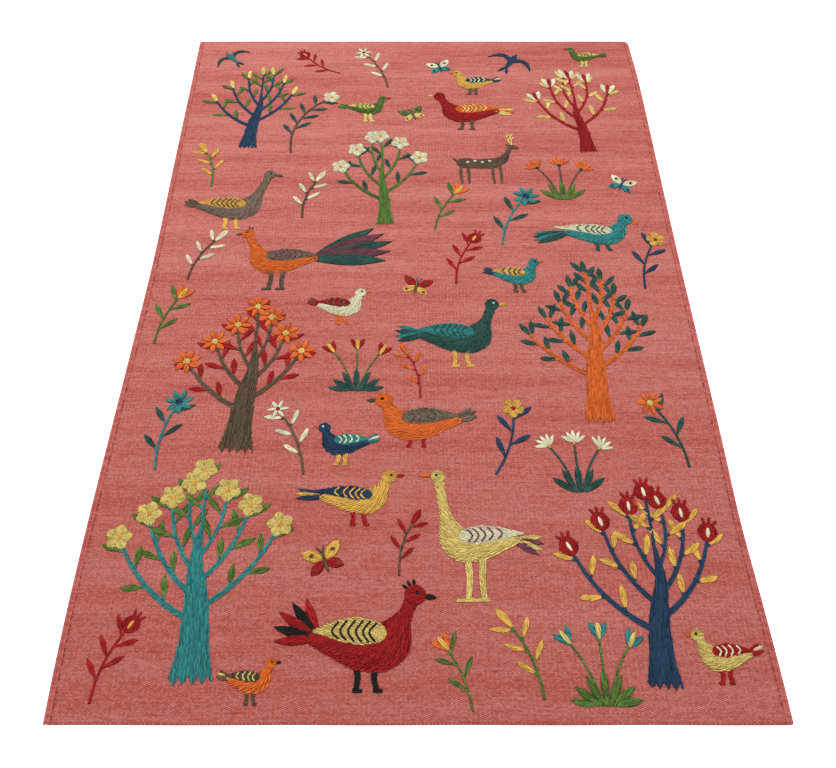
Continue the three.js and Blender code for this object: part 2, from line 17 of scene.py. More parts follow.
import bpy
import numpy as np
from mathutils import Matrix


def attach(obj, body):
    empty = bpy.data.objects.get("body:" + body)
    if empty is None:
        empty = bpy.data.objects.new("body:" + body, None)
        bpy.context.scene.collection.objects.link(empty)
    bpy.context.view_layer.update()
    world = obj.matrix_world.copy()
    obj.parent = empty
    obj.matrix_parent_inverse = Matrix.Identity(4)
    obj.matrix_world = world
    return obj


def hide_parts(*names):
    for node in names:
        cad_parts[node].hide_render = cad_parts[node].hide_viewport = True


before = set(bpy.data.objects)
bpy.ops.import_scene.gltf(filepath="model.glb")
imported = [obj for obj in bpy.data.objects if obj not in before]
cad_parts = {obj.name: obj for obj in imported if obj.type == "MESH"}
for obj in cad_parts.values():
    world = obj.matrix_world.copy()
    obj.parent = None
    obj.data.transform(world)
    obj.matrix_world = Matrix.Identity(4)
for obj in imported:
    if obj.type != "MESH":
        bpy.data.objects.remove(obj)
log = logging.getLogger("rug")

MM = 0.001
WIDTH, LENGTH = 1200.0, 1800.0
THICKNESS = 3.0
FLOAT_REPEAT = 7.5
PASS_REPEAT = 3.1
SELVEDGE_WIDTH = 11.1
LEAF_SLANT = 7.0
LEG_WIDTH = 8.0
BEAD_ANGLES = (-25, 37, 90, 143, 205)
BEAD_CROWN = 2 / len(BEAD_ANGLES)
PADDING_STRIP = 0.08

Colour = tuple[float, float, float]
Patches = list["Patch"]


class Yarn(Enum):
    """The dyed yarns, each by its linear colour."""

    ORANGE = (0.900, 0.150, 0.020)
    RED = (0.410, 0.007, 0.009)
    FOREST = (0.022, 0.088, 0.072)
    TEAL = (0.032, 0.262, 0.258)
    NAVY = (0.018, 0.056, 0.120)
    STRAW = (0.850, 0.590, 0.170)
    GOLD = (0.930, 0.450, 0.080)
    CREAM = (0.930, 0.780, 0.530)
    LEAF = (0.105, 0.200, 0.032)
    BARK = (0.132, 0.086, 0.050)
    STONE = (0.215, 0.155, 0.108)
    BLACK = (0.009, 0.009, 0.008)
    PLUM = (0.180, 0.050, 0.072)


class Work(Enum):
    """How a patch is filled: rows of stitches, stitches that fan along a leaf, or a stem's slanted line."""

    ROWS = "rows"
    LEAF = "leaf"
    LINE = "line"


class Tip(Enum):
    """The flower heads."""

    ROSETTE = "rosette"
    DAISY = "daisy"
    TULIP = "tulip"
    POMEGRANATE = "pomegranate"
    BUD = "bud"
    STAR = "star"
    FAN = "fan"


# Curves in the plane


def polar(degrees: float, long: float) -> np.ndarray:
    """The point at that distance from the origin in that direction."""
    return np.array([math.cos(math.radians(degrees)), math.sin(math.radians(degrees))]) * long


def uneven(count: float, seed: float) -> float:
    """A hand's unevenness: a fixed value from -1 to 1 for each count and seed."""
    return math.sin(12.9 * count + 7.3 * seed)


def spline(rows: np.ndarray, t: np.ndarray) -> np.ndarray:
    """The cubic curve through rows of numbers. Its slope at a row is half the step between its neighbours.

    Past each end the rows go on as their mirror image through the end row.

    Args:
        rows: the numbers to pass through, one row for each point.
        t: places from 0 to 1 over all the rows.

    Returns:
        One row for each place.
    """
    rows = np.asarray(rows, float)
    padded = np.vstack([2 * rows[0] - rows[1], rows, 2 * rows[-1] - rows[-2]])
    at = np.clip(np.atleast_1d(t), 0, 1) * (len(rows) - 1)
    k = np.minimum(at.astype(int), len(rows) - 2)
    f = (at - k)[:, None]
    a, b, c, d = padded[k], padded[k + 1], padded[k + 2], padded[k + 3]
    cubic = (3 * b - a - 3 * c + d) * f**3
    return 0.5 * (2 * b + (c - a) * f + (2 * a - 5 * b + 4 * c - d) * f**2 + cubic)


def inside(points: np.ndarray, polygon: np.ndarray) -> np.ndarray:
    """Which points lie in a polygon: a ray to the right crosses its edges an odd number of times.

    Args:
        points: rows of x and y.
        polygon: its corners, in order.

    Returns:
        True for each point inside.
    """
    low, high = polygon.min(axis=0), polygon.max(axis=0)
    result = np.all((points >= low) & (points <= high), axis=1)
    near = points[result]
    if len(near):
        a, b = polygon, np.roll(polygon, -1, axis=0)
        x, y = near[:, :1], near[:, 1:]
        rise = b[:, 1] - a[:, 1]
        slope = (b[:, 0] - a[:, 0]) / np.where(np.abs(rise) < 1e-9, 1e-9, rise)
        crosses = ((a[:, 1] > y) != (b[:, 1] > y)) & (x < a[:, 0] + (y - a[:, 1]) * slope)
        result[result] = crosses.sum(axis=1) % 2 == 1
    return result


@dataclass(frozen=True)
class Ribbon:
    """A patch's spine, sampled closely.

    It holds the places, the direction to the left, the distance along, and the reach to each side.
    """

    place: np.ndarray
    normal: np.ndarray
    along: np.ndarray
    left: np.ndarray
    right: np.ndarray

    def outline(self) -> np.ndarray:
        """The closed outline, up the left side and back down the right.

        Returns:
            A row of x and y for each point.
        """
        up = self.place + self.normal * self.left[:, None]
        down = self.place - self.normal * self.right[:, None]
        return np.vstack([up, down[::-1]])


@dataclass(frozen=True)
class Patch:
    """An area of one yarn: rows of x, y, reach to the left and reach to the right along its spine."""

    spine: np.ndarray
    yarn: Yarn
    work: Work = Work.ROWS
    round_start: float = 0.0
    round_end: float = 0.0
    on_top: bool = False
    stitch: float = 10.0
    ragged: float = 0.0
    slant: float = 0.0

    def ribbon(self, step: float = 1.6) -> Ribbon:
        """Samples the spine; a round end is a reach times sqrt(1 - (1 - distance / radius)^2).

        Args:
            step: the rough distance between samples.

        Returns:
            The samples.
        """
        rough = np.linalg.norm(np.diff(self.spine[:, :2], axis=0), axis=1).sum()
        t = np.linspace(0, 1, max(7, int(rough / step)))
        if self.round_start or self.round_end:
            t = (1 - np.cos(np.pi * t)) / 2
        rows = spline(self.spine, t)
        ahead = np.gradient(rows[:, :2], axis=0)
        ahead /= np.maximum(np.linalg.norm(ahead, axis=1), 1e-9)[:, None]
        along = np.concatenate([[0], np.cumsum(np.linalg.norm(np.diff(rows[:, :2], axis=0), axis=1))])
        reach = np.maximum(rows[:, 2:], 0)
        for radius, distance in ((self.round_start, along), (self.round_end, along[-1] - along)):
            if radius:
                reach = reach * np.sqrt(np.clip(1 - np.clip(1 - distance / radius, 0, 1) ** 2, 0, 1))[:, None]
        return Ribbon(rows[:, :2], np.stack([-ahead[:, 1], ahead[:, 0]], 1), along, reach[:, 0], reach[:, 1])


def layers(patches: Patches) -> list[int]:
    """How many of a motif's earlier filled patches lie under the middle of each patch.

    Args:
        patches: the motif's patches, the lowest first.

    Returns:
        A number for each patch.
    """
    ribbons = [p.ribbon() for p in patches]
    filled = [(k, r.outline()) for k, r in enumerate(ribbons) if patches[k].work is not Work.LINE]
    return [
        sum(bool(inside(r.place[len(r.place) // 2][None], outline)[0]) for j, outline in filled if j < k)
        for k, r in enumerate(ribbons)
    ]


# Small shapes that the motifs are made of


def dot(at: Sequence[float], radius: float, yarn: Yarn, turn: float = 0.0, on_top: bool = False) -> Patch:
    """A round spot.

    Args:
        at: its middle.
        radius: its radius.
        yarn: its yarn.
        turn: the direction of its rows, in degrees.
        on_top: whether it lies on other stitches.

    Returns:
        The patch.
    """
    off = polar(turn, radius)
    middle = np.asarray(at, float)
    spine = np.array([[*(middle - off), radius, radius], [*(middle + off), radius, radius]])
    return Patch(spine, yarn, Work.ROWS, radius, radius, on_top)


def lens(base: Sequence[float], turn: float, long: float, wide: float, yarn: Yarn) -> Patch:
    """A leaf or petal from its base, fullest a little past its middle.

    Args:
        base: where it starts.
        turn: the direction in which it points, in degrees.
        long: its length.
        wide: its full width.
        yarn: its yarn.

    Returns:
        The patch.
    """
    share = np.array([[-0.06, 0.24], [0.3, 0.86], [0.6, 0.96], [0.85, 0.5], [1.0, 0.05]])
    places = np.asarray(base, float) + share[:, :1] * polar(turn, long)
    half = share[:, 1:] * wide / 2
    return Patch(np.hstack([places, half, half]), yarn, Work.LEAF, slant=LEAF_SLANT)


def stroke(points: Sequence[Sequence[float]], width: float, yarn: Yarn, taper: float = 1.0,
           on_top: bool = False) -> Patch:
    """A line of stitches through points.

    Args:
        points: where it runs.
        width: its width at its start.
        yarn: its yarn.
        taper: its width at its end, as a share of that at its start.
        on_top: whether it lies on other stitches.

    Returns:
        The patch.
    """
    places = np.asarray(points, float)
    half = np.linspace(width, width * taper, len(places))[:, None] / 2
    return Patch(np.hstack([places, half, half]), yarn, Work.LINE, on_top=on_top)


def bough(start: Sequence[float], turn: float, long: float, curl: float, parts: int = 4) -> np.ndarray:
    """Points along a bough that bends evenly over its length.

    Args:
        start: where it starts.
        turn: the direction in which it starts, in degrees.
        long: its length.
        curl: how far it bends to the left, in degrees.
        parts: how many steps it has.

    Returns:
        A row for each point, with the start.
    """
    steps = [polar(turn + curl * (k + 0.5) / parts, long / parts) for k in range(parts)]
    return np.vstack([np.asarray(start, float), np.asarray(start, float) + np.cumsum(steps, axis=0)])


def blossom(tip: Tip, at: np.ndarray, turn: float, r: float, yarn: Yarn, heart: Yarn) -> Patches:
    """A flower head of about radius r from where its stem ends.

    Args:
        tip: which flower.
        at: where the stem ends.
        turn: the direction that the flower faces.
        r: its rough radius.
        yarn: the petals' yarn.
        heart: the middle's yarn.

    Returns:
        Its patches, the lowest first.
    """
    if tip is Tip.ROSETTE:
        middle = at + polar(turn, r * 0.7)
        turns = [turn + 36 + 72 * k for k in range(5)]
        petals = [dot(middle + polar(a, r * 0.56), r * 0.44, yarn, a) for a in turns]
        return [*petals, dot(middle, r * 0.28, heart, turn)]
    if tip is Tip.DAISY:
        middle = at + polar(turn, r * 0.6)
        turns = [turn + 360 * k / 7 for k in range(7)]
        petals = [lens(middle + polar(a, r * 0.16), a, r * 0.9, r * 0.46, yarn) for a in turns]
        return [*petals, dot(middle, r * 0.3, heart, turn)]
    if tip is Tip.TULIP:
        outer = [lens(at, turn + a, r * 1.5, r * 0.62, yarn) for a in (-27, 27)]
        return [*outer, lens(at, turn, r * 1.35, r * 0.5, heart)]
    if tip is Tip.POMEGRANATE:
        middle = at + polar(turn, r * 0.75)
        crown = [
            lens(middle + polar(turn + a, r * 0.66), turn + a * 1.2, r * 0.62, r * 0.3, yarn)
            for a in (-24, 0, 24)
        ]
        seeds = lens(middle - polar(turn, r * 0.4), turn, r * 0.8, r * 0.34, heart)
        return [dot(middle, r * 0.78, yarn, turn), *crown, seeds]
    if tip is Tip.BUD:
        return [lens(at, turn, r * 1.7, r * 0.72, yarn)]
    if tip is Tip.STAR:
        middle = at + polar(turn, r * 0.75)
        petals = [lens(middle, turn + 60 * k, r, r * 0.36, yarn) for k in range(6)]
        return [*petals, dot(middle, r * 0.2, heart, turn, on_top=True)]
    petals = [lens(at, turn + a, r * 1.35, r * 0.42, yarn) for a in (-56, -28, 0, 28, 56)]
    return [*petals, dot(at, r * 0.22, heart, turn)]


# The motifs


class Motif:
    """A figure that knows its patches, about its own origin."""

    def patches(self) -> Patches:
        """Its patches, the lowest first."""
        raise NotImplementedError


@dataclass(frozen=True)
class Spray(Motif):
    """A bough with leaves to each side and a blossom at its tip."""

    long: float
    curl: float
    width: float
    leaves: int
    leaf: float
    tip: Tip
    size: float
    stem: Yarn
    leaf_yarn: Yarn
    tip_yarn: Yarn
    heart: Yarn
    thick: float = 1.2

    def patches(self) -> Patches:
        """The spray upright from the origin."""
        return self.grown(np.zeros(2), 90, 1, 0)

    def grown(self, start: np.ndarray, turn: float, side: int, seed: float) -> Patches:
        """The spray from a place.

        Args:
            start: where it starts.
            turn: the direction in which it leaves, in degrees.
            side: 1 to curl as its sizes say, -1 to curl the other way.
            seed: what its unevenness starts from.

        Returns:
            Its patches: stem, leaves and blossom.
        """
        points = bough(start, turn, self.long, self.curl * side)
        out = [stroke(points, self.width * self.thick, self.stem, 0.9 / self.thick)]
        for k in range(self.leaves):
            s = 0.3 + 0.63 * k / max(self.leaves - 1, 1)
            hand = side if k % 2 == 0 else -side
            away = turn + self.curl * side * s + hand * (42 + 8 * uneven(k, seed))
            at = spline(points, np.array([s]))[0]
            foot = at + polar(away, self.leaf * 0.3)
            out.append(stroke([at, foot], self.width, self.stem))
            long = self.leaf * (1 + 0.12 * uneven(k, seed + 1))
            out.append(lens(foot, away, long, self.leaf * 0.37, self.leaf_yarn))
        end = turn + self.curl * side
        return out + blossom(self.tip, points[-1], end, self.size, self.tip_yarn, self.heart)


@dataclass(frozen=True)
class Tree(Motif):
    """A trunk with roots, and sprays that leave it by turns to the left and the right."""

    height: float
    trunk: float
    lean: float
    boughs: int
    reach: float
    seed: float
    limb: Spray

    def patches(self) -> Patches:
        """The tree upright, its foot at the origin.

        Returns:
            Its patches, the lowest first.
        """
        h, w, wood, tip = self.height, self.trunk, self.limb.stem, self.limb.width
        rows = [
            (0, 0, w * 0.56), (self.lean * 0.1, h * 0.12, w * 0.42), (self.lean * 0.4, h * 0.30, w * 0.34),
            (self.lean, h * 0.48, w * 0.2), (self.lean * 0.9, h * 0.66, tip * 0.6),
        ]
        trunk = np.array([[x, y, half, half] for x, y, half in rows])
        out: Patches = []
        heads: Patches = []
        for k in range(self.boughs):
            s = (k + 0.5) / self.boughs
            side = 1 if k % 2 == 0 else -1
            x, y, half, _ = spline(trunk, np.array([0.4 + 0.5 * s]))[0]
            long = self.reach * (1 - 0.36 * s) * (1 + 0.12 * uneven(k, self.seed))
            limb = replace(self.limb, long=long, thick=2.6 - 1.2 * s)
            start = np.array([x - side * half * 0.4, y - half * 0.5])
            grown = limb.grown(start, 90 + side * (66 - 40 * s), -side, self.seed + k)
            out += grown[:1 + 2 * limb.leaves]
            heads += grown[1 + 2 * limb.leaves:]
        leader = replace(self.limb, long=self.reach * 0.5, curl=6)
        grown = leader.grown(trunk[-1, :2] - [0, 2], 90 - self.lean * 0.1, 1, self.seed)
        out += grown[:1 + 2 * leader.leaves]
        heads += grown[1 + 2 * leader.leaves:]
        return [*out, Patch(trunk, wood, stitch=20.0, ragged=w * 0.28), *heads]


@dataclass(frozen=True)
class Clump(Motif):
    """A tuft of blades with blossoms on stems among them."""

    height: float
    blades: int
    stems: int
    tip: Tip
    size: float
    blade_yarn: Yarn
    stem_yarn: Yarn
    tip_yarn: Yarn
    heart: Yarn

    def patches(self) -> Patches:
        """The tuft, its foot at the origin.

        Returns:
            Its patches, the lowest first.
        """
        h = self.height
        out: Patches = []
        for k in range(self.stems):
            a = 26 * (k - (self.stems - 1) / 2)
            points = bough([a * 0.3, 0], 90 - a * 0.5, h * (0.94 + 0.1 * uneven(k, 2)), -a * 0.9)
            out.append(stroke(points, 4.6, self.stem_yarn, 0.9))
            out += blossom(self.tip, points[-1], 90 - a * 1.3, self.size, self.tip_yarn, self.heart)
        half = 3.4 * (self.blades - 1)
        out.append(stroke([[-half, -2], [half, -2]], 8, self.blade_yarn))
        for k in range(self.blades):
            a = 27 * (k - (self.blades - 1) / 2)
            out.append(lens([a * 0.25, -3], 90 - a, h * (0.56 - 0.0018 * abs(a)), h * 0.15, self.blade_yarn))
        return out


@dataclass(frozen=True)
class Bird(Motif):
    """A bird from the side, facing +X, with the middle of its body at the origin."""

    long: float
    deep: float
    reach: float
    rise: float
    head: float
    beak: float
    gaze: float
    tail: float
    lift: float
    spread: float
    feathers: int
    leg: float
    wing: float
    crest: int
    bars: int
    body_yarn: Yarn
    wing_yarn: Yarn
    bar_yarn: Yarn
    tail_yarn: Yarn
    leg_yarn: Yarn
    beak_yarn: Yarn

    @property
    def crown(self) -> np.ndarray:
        """The middle of the head."""
        return np.array([0.40 * self.long + self.reach, 0.36 * self.deep + self.rise])

    def patches(self) -> Patches:
        """Tail, legs, body, head and wing, the lowest first."""
        return [*self.tail_feathers(), *self.legs(), self.body(), *self.head_parts(), *self.folded_wing()]

    def tail_feathers(self) -> Patches:
        """Feathers spread about the tail's direction, of two yarns by turns.

        Returns:
            A patch for each feather.
        """
        out = []
        for k in range(self.feathers):
            off = k - (self.feathers - 1) / 2
            yarn = self.tail_yarn if k % 2 == 0 else self.bar_yarn
            wide = max(self.tail, self.deep) * 0.2
            long = self.tail * (1 - 0.06 * abs(off))
            root = [-0.44 * self.long, 0.05 * self.deep]
            out.append(lens(root, 180 - self.lift + off * self.spread, long, wide, yarn))
        return out

    def legs(self) -> Patches:
        """Two legs, each with a foot.

        Returns:
            The patches of legs and feet.
        """
        out = []
        for s, bend in ((-0.04, 3), (0.16, -3)):
            x, y = s * self.long, -0.40 * self.deep
            foot = y - self.leg
            shin = [[x, y], [x + bend, (y + foot) / 2], [x + 1, foot]]
            out.append(stroke(shin, self.leg * 0.07 + LEG_WIDTH, self.leg_yarn, 0.75))
            toes = [[x - 0.12 * self.leg, foot - 1], [x + 1 + self.leg * 0.28, foot - 2]]
            out.append(stroke(toes, LEG_WIDTH, self.leg_yarn, 0.6))
        return out

    def body(self) -> Patch:
        """One patch from the rump, over the breast and up the neck.

        Returns:
            The patch.
        """
        length, deep, neck = self.long, self.deep, self.head * 0.72
        reach, rise = self.reach, self.rise
        return Patch(np.array([
            [-0.54 * length, 0.05 * deep, 0.06 * deep, 0.08 * deep],
            [-0.30 * length, 0.04 * deep, 0.24 * deep, 0.30 * deep],
            [0.0, 0.0, 0.38 * deep, 0.50 * deep],
            [0.25 * length, 0.08 * deep, 0.32 * deep, 0.52 * deep],
            [0.38 * length + 0.20 * reach, 0.30 * deep + 0.28 * rise, neck * 0.9, neck * 1.5],
            [0.40 * length + 0.62 * reach, 0.35 * deep + 0.66 * rise, neck * 0.9, neck],
            [*self.crown, self.head * 0.75, self.head * 0.75],
        ]), self.body_yarn, stitch=10.0, slant=15.0)

    def head_parts(self) -> Patches:
        """Beak, crest, head and eye.

        Returns:
            Their patches, the lowest first.
        """
        h, crown = self.head, self.crown
        eye = Yarn.CREAM if self.body_yarn in (Yarn.FOREST, Yarn.NAVY) else Yarn.BLACK
        crest = [
            lens(crown + polar(95 + 22 * k, h * 0.8), 95 + 24 * k, h * 0.75, h * 0.34, self.beak_yarn)
            for k in range(self.crest)
        ]
        return [
            lens(crown + polar(self.gaze, h * 0.72), self.gaze, self.beak, h * 0.62, self.beak_yarn), *crest,
            dot(crown, h, self.body_yarn, self.gaze),
            dot(crown + np.array([h * 0.22, h * 0.2]), max(h * 0.2, 2.4), eye, on_top=True),
        ]

    def folded_wing(self) -> Patches:
        """The wing, with chevron bars across it.

        Returns:
            Its patches, the lowest first.
        """
        length, deep, wing = self.long, self.deep, self.wing
        spine = np.array([
            [0.26 * length, 0.13 * deep, 0.12 * deep, 0.14 * deep],
            [0.06 * length, 0.16 * deep, 0.22 * deep, 0.24 * deep],
            [-0.20 * length, 0.14 * deep + wing * 0.10, 0.19 * deep, 0.22 * deep],
            [-0.26 * length - wing, 0.08 * deep + wing * 0.22, 0.02 * deep, 0.03 * deep],
        ])
        out = [Patch(spine, self.wing_yarn, round_start=0.12 * deep, stitch=9.5, slant=-16.0)]
        for k in range(self.bars):
            s = 0.22 + 0.5 * k / max(self.bars - 1, 1)
            here, ahead = spline(spine, np.array([s, s + 0.02]))
            forward = (ahead - here)[:2] / np.linalg.norm((ahead - here)[:2])
            up = np.array([-forward[1], forward[0]])
            back, tip = here[:2] - forward * 0.02 * length, here[:2] + forward * 0.05 * length
            ends = [back + up * here[2] * 0.82, tip, back - up * here[3] * 0.82]
            out.append(stroke(ends, 3.4, self.bar_yarn, on_top=True))
        return out


@dataclass(frozen=True)
class Flyer(Motif):
    """A bird on the wing, seen from above, flying towards +Y."""

    span: float
    fork: float
    yarn: Yarn
    wing_yarn: Yarn

    def patches(self) -> Patches:
        """Two swept wings, a forked tail and the body.

        Returns:
            Their patches, the lowest first.
        """
        s = self.span
        out: Patches = []
        for side in (1, -1):
            rows = [(0.02, 0.05, 0.07), (0.2, 0.13, 0.06), (0.37, 0.06, 0.045), (0.5, -0.1, 0.006)]
            spine = np.array([[x * side, y, half, half] for x, y, half in rows]) * s
            out.append(Patch(spine, self.wing_yarn))
            out.append(lens([0, -0.2 * s], -90 + side * self.fork, 0.24 * s, 0.075 * s, self.wing_yarn))
        rows = [(-0.26, 0.02), (-0.08, 0.06), (0.12, 0.07), (0.25, 0.045)]
        body = np.array([[0, y, half, half] for y, half in rows]) * s
        beak = lens([0, 0.24 * s], 90, 0.07 * s, 0.035 * s, Yarn.BLACK)
        return [*out, beak, Patch(body, self.yarn, round_end=0.05 * s)]


@dataclass(frozen=True)
class Butterfly(Motif):
    """A butterfly with its four wings spread, its head towards +Y."""

    span: float
    upper: Yarn
    lower: Yarn
    body: Yarn

    def patches(self) -> Patches:
        """Four wings with spots, two feelers and the body.

        Returns:
            Their patches, the lowest first.
        """
        s = self.span
        out: Patches = []
        for mirrored in (False, True):
            for turn, long, wide, yarn in ((38, 0.52, 0.3, self.upper), (-32, 0.4, 0.26, self.lower)):
                a = 180 - turn if mirrored else turn
                out.append(lens(polar(a, 0.03 * s), a, long * s, wide * s, yarn))
                out.append(dot(polar(a, 0.3 * s), 0.05 * s, self.body, on_top=True))
            root = polar(90, 0.16 * s)
            out.append(stroke([root, root + polar(114 if mirrored else 66, 0.2 * s)], 3.2, self.body, 0.8))
        return [*out, lens([0, -0.24 * s], 90, 0.46 * s, 0.09 * s, self.body)]


@dataclass(frozen=True)
class Deer(Motif):
    """A deer from the side, facing +X, its middle at the origin."""

    long: float
    coat: Yarn
    horn: Yarn
    spots: Yarn

    def patches(self) -> Patches:
        """Legs, horns, tail, body, head, ear, spots and eye.

        Returns:
            Their patches, the lowest first.
        """
        size = self.long
        out: Patches = []
        for x, lean in ((-0.36, -1.8), (-0.24, 1.2), (0.20, -0.9), (0.32, 1.8)):
            knee = [x * size + lean, -0.26 * size]
            leg = [[x * size, -0.06 * size], knee, [(x + 0.01) * size, -0.5 * size]]
            out.append(stroke(leg, 0.06 * size, self.coat, 0.6))
        crown = np.array([0.56, 0.44]) * size
        for turn, tine, curl in ((118, 60, -24), (84, 50, 24)):
            beam = bough(crown + [0, 0.04 * size], turn, 0.3 * size, curl)
            out.append(stroke(beam, 4.5, self.horn, 0.8))
            forks = spline(beam, np.array([0.45, 0.75]))
            out += [stroke([at, at + polar(tine, 0.09 * size)], 4, self.horn, 0.8) for at in forks]
        rows = [
            (-0.44, 0.02, 0.05, 0.05), (-0.34, 0.02, 0.12, 0.13), (-0.1, 0, 0.12, 0.12),
            (0.18, 0.02, 0.12, 0.14), (0.38, 0.14, 0.07, 0.12), (0.48, 0.3, 0.05, 0.05),
            (0.56, 0.44, 0.045, 0.045),
        ]
        back = np.array([-0.24, 0.03]) * size
        spots = [
            dot(back + np.array([0.13 * k, 0.03 * (k % 2)]) * size, 0.032 * size, self.spots, on_top=True)
            for k in range(4)
        ]
        return [
            *out,
            lens([-0.43 * size, 0.06 * size], 130, 0.12 * size, 0.05 * size, self.coat),
            Patch(np.array(rows) * size, self.coat, round_start=0.05 * size),
            lens(crown - polar(-22, 0.05 * size), -22, 0.2 * size, 0.1 * size, self.coat),
            lens(crown + np.array([-0.02, 0.02]) * size, 150, 0.1 * size, 0.045 * size, self.coat),
            *spots,
            dot(crown + np.array([0.02, 0.015]) * size, 2.2, Yarn.BLACK, on_top=True),
        ]


@dataclass(frozen=True)
class Placed:
    """A motif where it lies on the cloth, which is where the CAD node of the same name is."""

    name: str
    motif: Motif
    x: float
    y: float
    turn: float = 0.0
    size: float = 1.0
    mirrored: bool = False

    def patches(self) -> Patches:
        """The motif's patches, mirrored, grown, turned and moved, in that order.

        Returns:
            The patches in their place on the rug.
        """
        c, s = math.cos(math.radians(self.turn)), math.sin(math.radians(self.turn))
        flip = -1.0 if self.mirrored else 1.0
        turned = np.array([[c * flip, s * flip], [-s, c]]) * self.size
        out = []
        for patch in self.motif.patches():
            reach = patch.spine[:, [3, 2]] if self.mirrored else patch.spine[:, 2:]
            spine = np.hstack([patch.spine[:, :2] @ turned + [self.x, self.y], reach * self.size])
            ends = {"round_start": patch.round_start * self.size, "round_end": patch.round_end * self.size}
            out.append(replace(patch, spine=spine, **ends))
        return out


Y, T = Yarn, Tip


def tree(height: float, trunk: float, lean: float, boughs: int, reach: float, seed: float,
         *limb: Any) -> Tree:
    """A tree whose boughs are sprays of the given sizes and yarns."""
    return Tree(height, trunk, lean, boughs, reach, seed, Spray(reach, *limb))


def wren(*yarns: Yarn) -> Bird:
    """A small bird, with its yarns in the order of the birds below."""
    return Bird(92, 54, 8, 18, 13, 14, 6, 34, 26, 14, 3, 24, 28, 0, 4, *yarns)


# Height, trunk, lean, boughs, reach and seed, and then the boughs as sprays, without their length
TEAL_TREE = tree(390, 62, -18, 7, 175, 0.3, 34, 4.8, 4, 36, T.ROSETTE, 24, Y.TEAL, Y.LEAF, Y.STRAW, Y.GOLD)
NAVY_TREE = tree(350, 50, 22, 6, 165, 1.1, 40, 4.8, 4, 36, T.POMEGRANATE, 23, Y.NAVY, Y.GOLD, Y.RED, Y.CREAM)
BARK_TREE = tree(370, 60, 14, 6, 160, 2.2, 30, 5.0, 4, 36, T.DAISY, 28, Y.BARK, Y.RED, Y.ORANGE, Y.STRAW)
ORANGE_TREE = tree(440, 56, 16, 8, 180, 3.1, 30, 4.8, 5, 36, T.BUD, 20,
                   Y.ORANGE, Y.FOREST, Y.FOREST, Y.FOREST)
LEAF_TREE = tree(300, 36, -10, 5, 150, 4.2, 36, 4.4, 3, 32, T.ROSETTE, 23, Y.LEAF, Y.FOREST, Y.CREAM, Y.GOLD)
PLUM_TREE = tree(310, 40, -14, 5, 160, 5.2, 44, 4.6, 4, 34, T.TULIP, 27, Y.RED, Y.STRAW, Y.CREAM, Y.RED)
GOLD_TREE = tree(320, 42, 16, 6, 150, 1.7, 36, 4.6, 4, 32, T.BUD, 20, Y.NAVY, Y.LEAF, Y.STRAW, Y.STRAW)

# Long, curl, width, leaves, leaf, tip and size, and the yarns of stem, leaves, petals and heart
GOLD_SPRAY = Spray(130, 34, 4.4, 5, 31, T.BUD, 24, Y.LEAF, Y.GOLD, Y.GOLD, Y.GOLD)
ROSE_SPRAY = Spray(130, 34, 4.4, 5, 31, T.BUD, 24, Y.BARK, Y.RED, Y.RED, Y.RED)
CORAL_SPRAY = Spray(130, 34, 4.4, 5, 31, T.BUD, 24, Y.RED, Y.ORANGE, Y.ORANGE, Y.ORANGE)
BLUE_SPRAY = Spray(140, 32, 4.4, 4, 34, T.ROSETTE, 23, Y.NAVY, Y.NAVY, Y.GOLD, Y.RED)
ORANGE_SPRAY = Spray(140, 32, 4.4, 4, 34, T.DAISY, 27, Y.FOREST, Y.FOREST, Y.ORANGE, Y.STRAW)
LIME_SPRAY = Spray(130, 30, 4.4, 4, 34, T.TULIP, 26, Y.LEAF, Y.LEAF, Y.ORANGE, Y.GOLD)
PLUM_SPRAY = Spray(130, -34, 4.4, 5, 31, T.POMEGRANATE, 22, Y.RED, Y.RED, Y.RED, Y.GOLD)
TEAL_SPRAY = Spray(140, -30, 4.4, 4, 34, T.DAISY, 28, Y.TEAL, Y.FOREST, Y.TEAL, Y.NAVY)
CREAM_SPRAY = Spray(130, -36, 4.4, 5, 31, T.BUD, 24, Y.BARK, Y.CREAM, Y.CREAM, Y.CREAM)
WHITE_SPRAY = Spray(150, 30, 4.4, 5, 32, T.STAR, 24, Y.BARK, Y.CREAM, Y.CREAM, Y.RED)
LONG_SPRAY = Spray(230, -62, 5.0, 8, 34, T.ROSETTE, 23, Y.BARK, Y.FOREST, Y.CREAM, Y.GOLD)

# Height, blades, stems, tip and size, and the yarns of blades, stems, petals and heart
RED_CLUMP = Clump(120, 7, 3, T.TULIP, 25, Y.FOREST, Y.LEAF, Y.RED, Y.GOLD)
ORANGE_CLUMP = Clump(110, 5, 3, T.FAN, 24, Y.LEAF, Y.BARK, Y.ORANGE, Y.NAVY)
CREAM_CLUMP = Clump(110, 5, 3, T.FAN, 24, Y.FOREST, Y.FOREST, Y.CREAM, Y.GOLD)
TEAL_CLUMP = Clump(120, 7, 3, T.TULIP, 25, Y.LEAF, Y.LEAF, Y.TEAL, Y.STRAW)

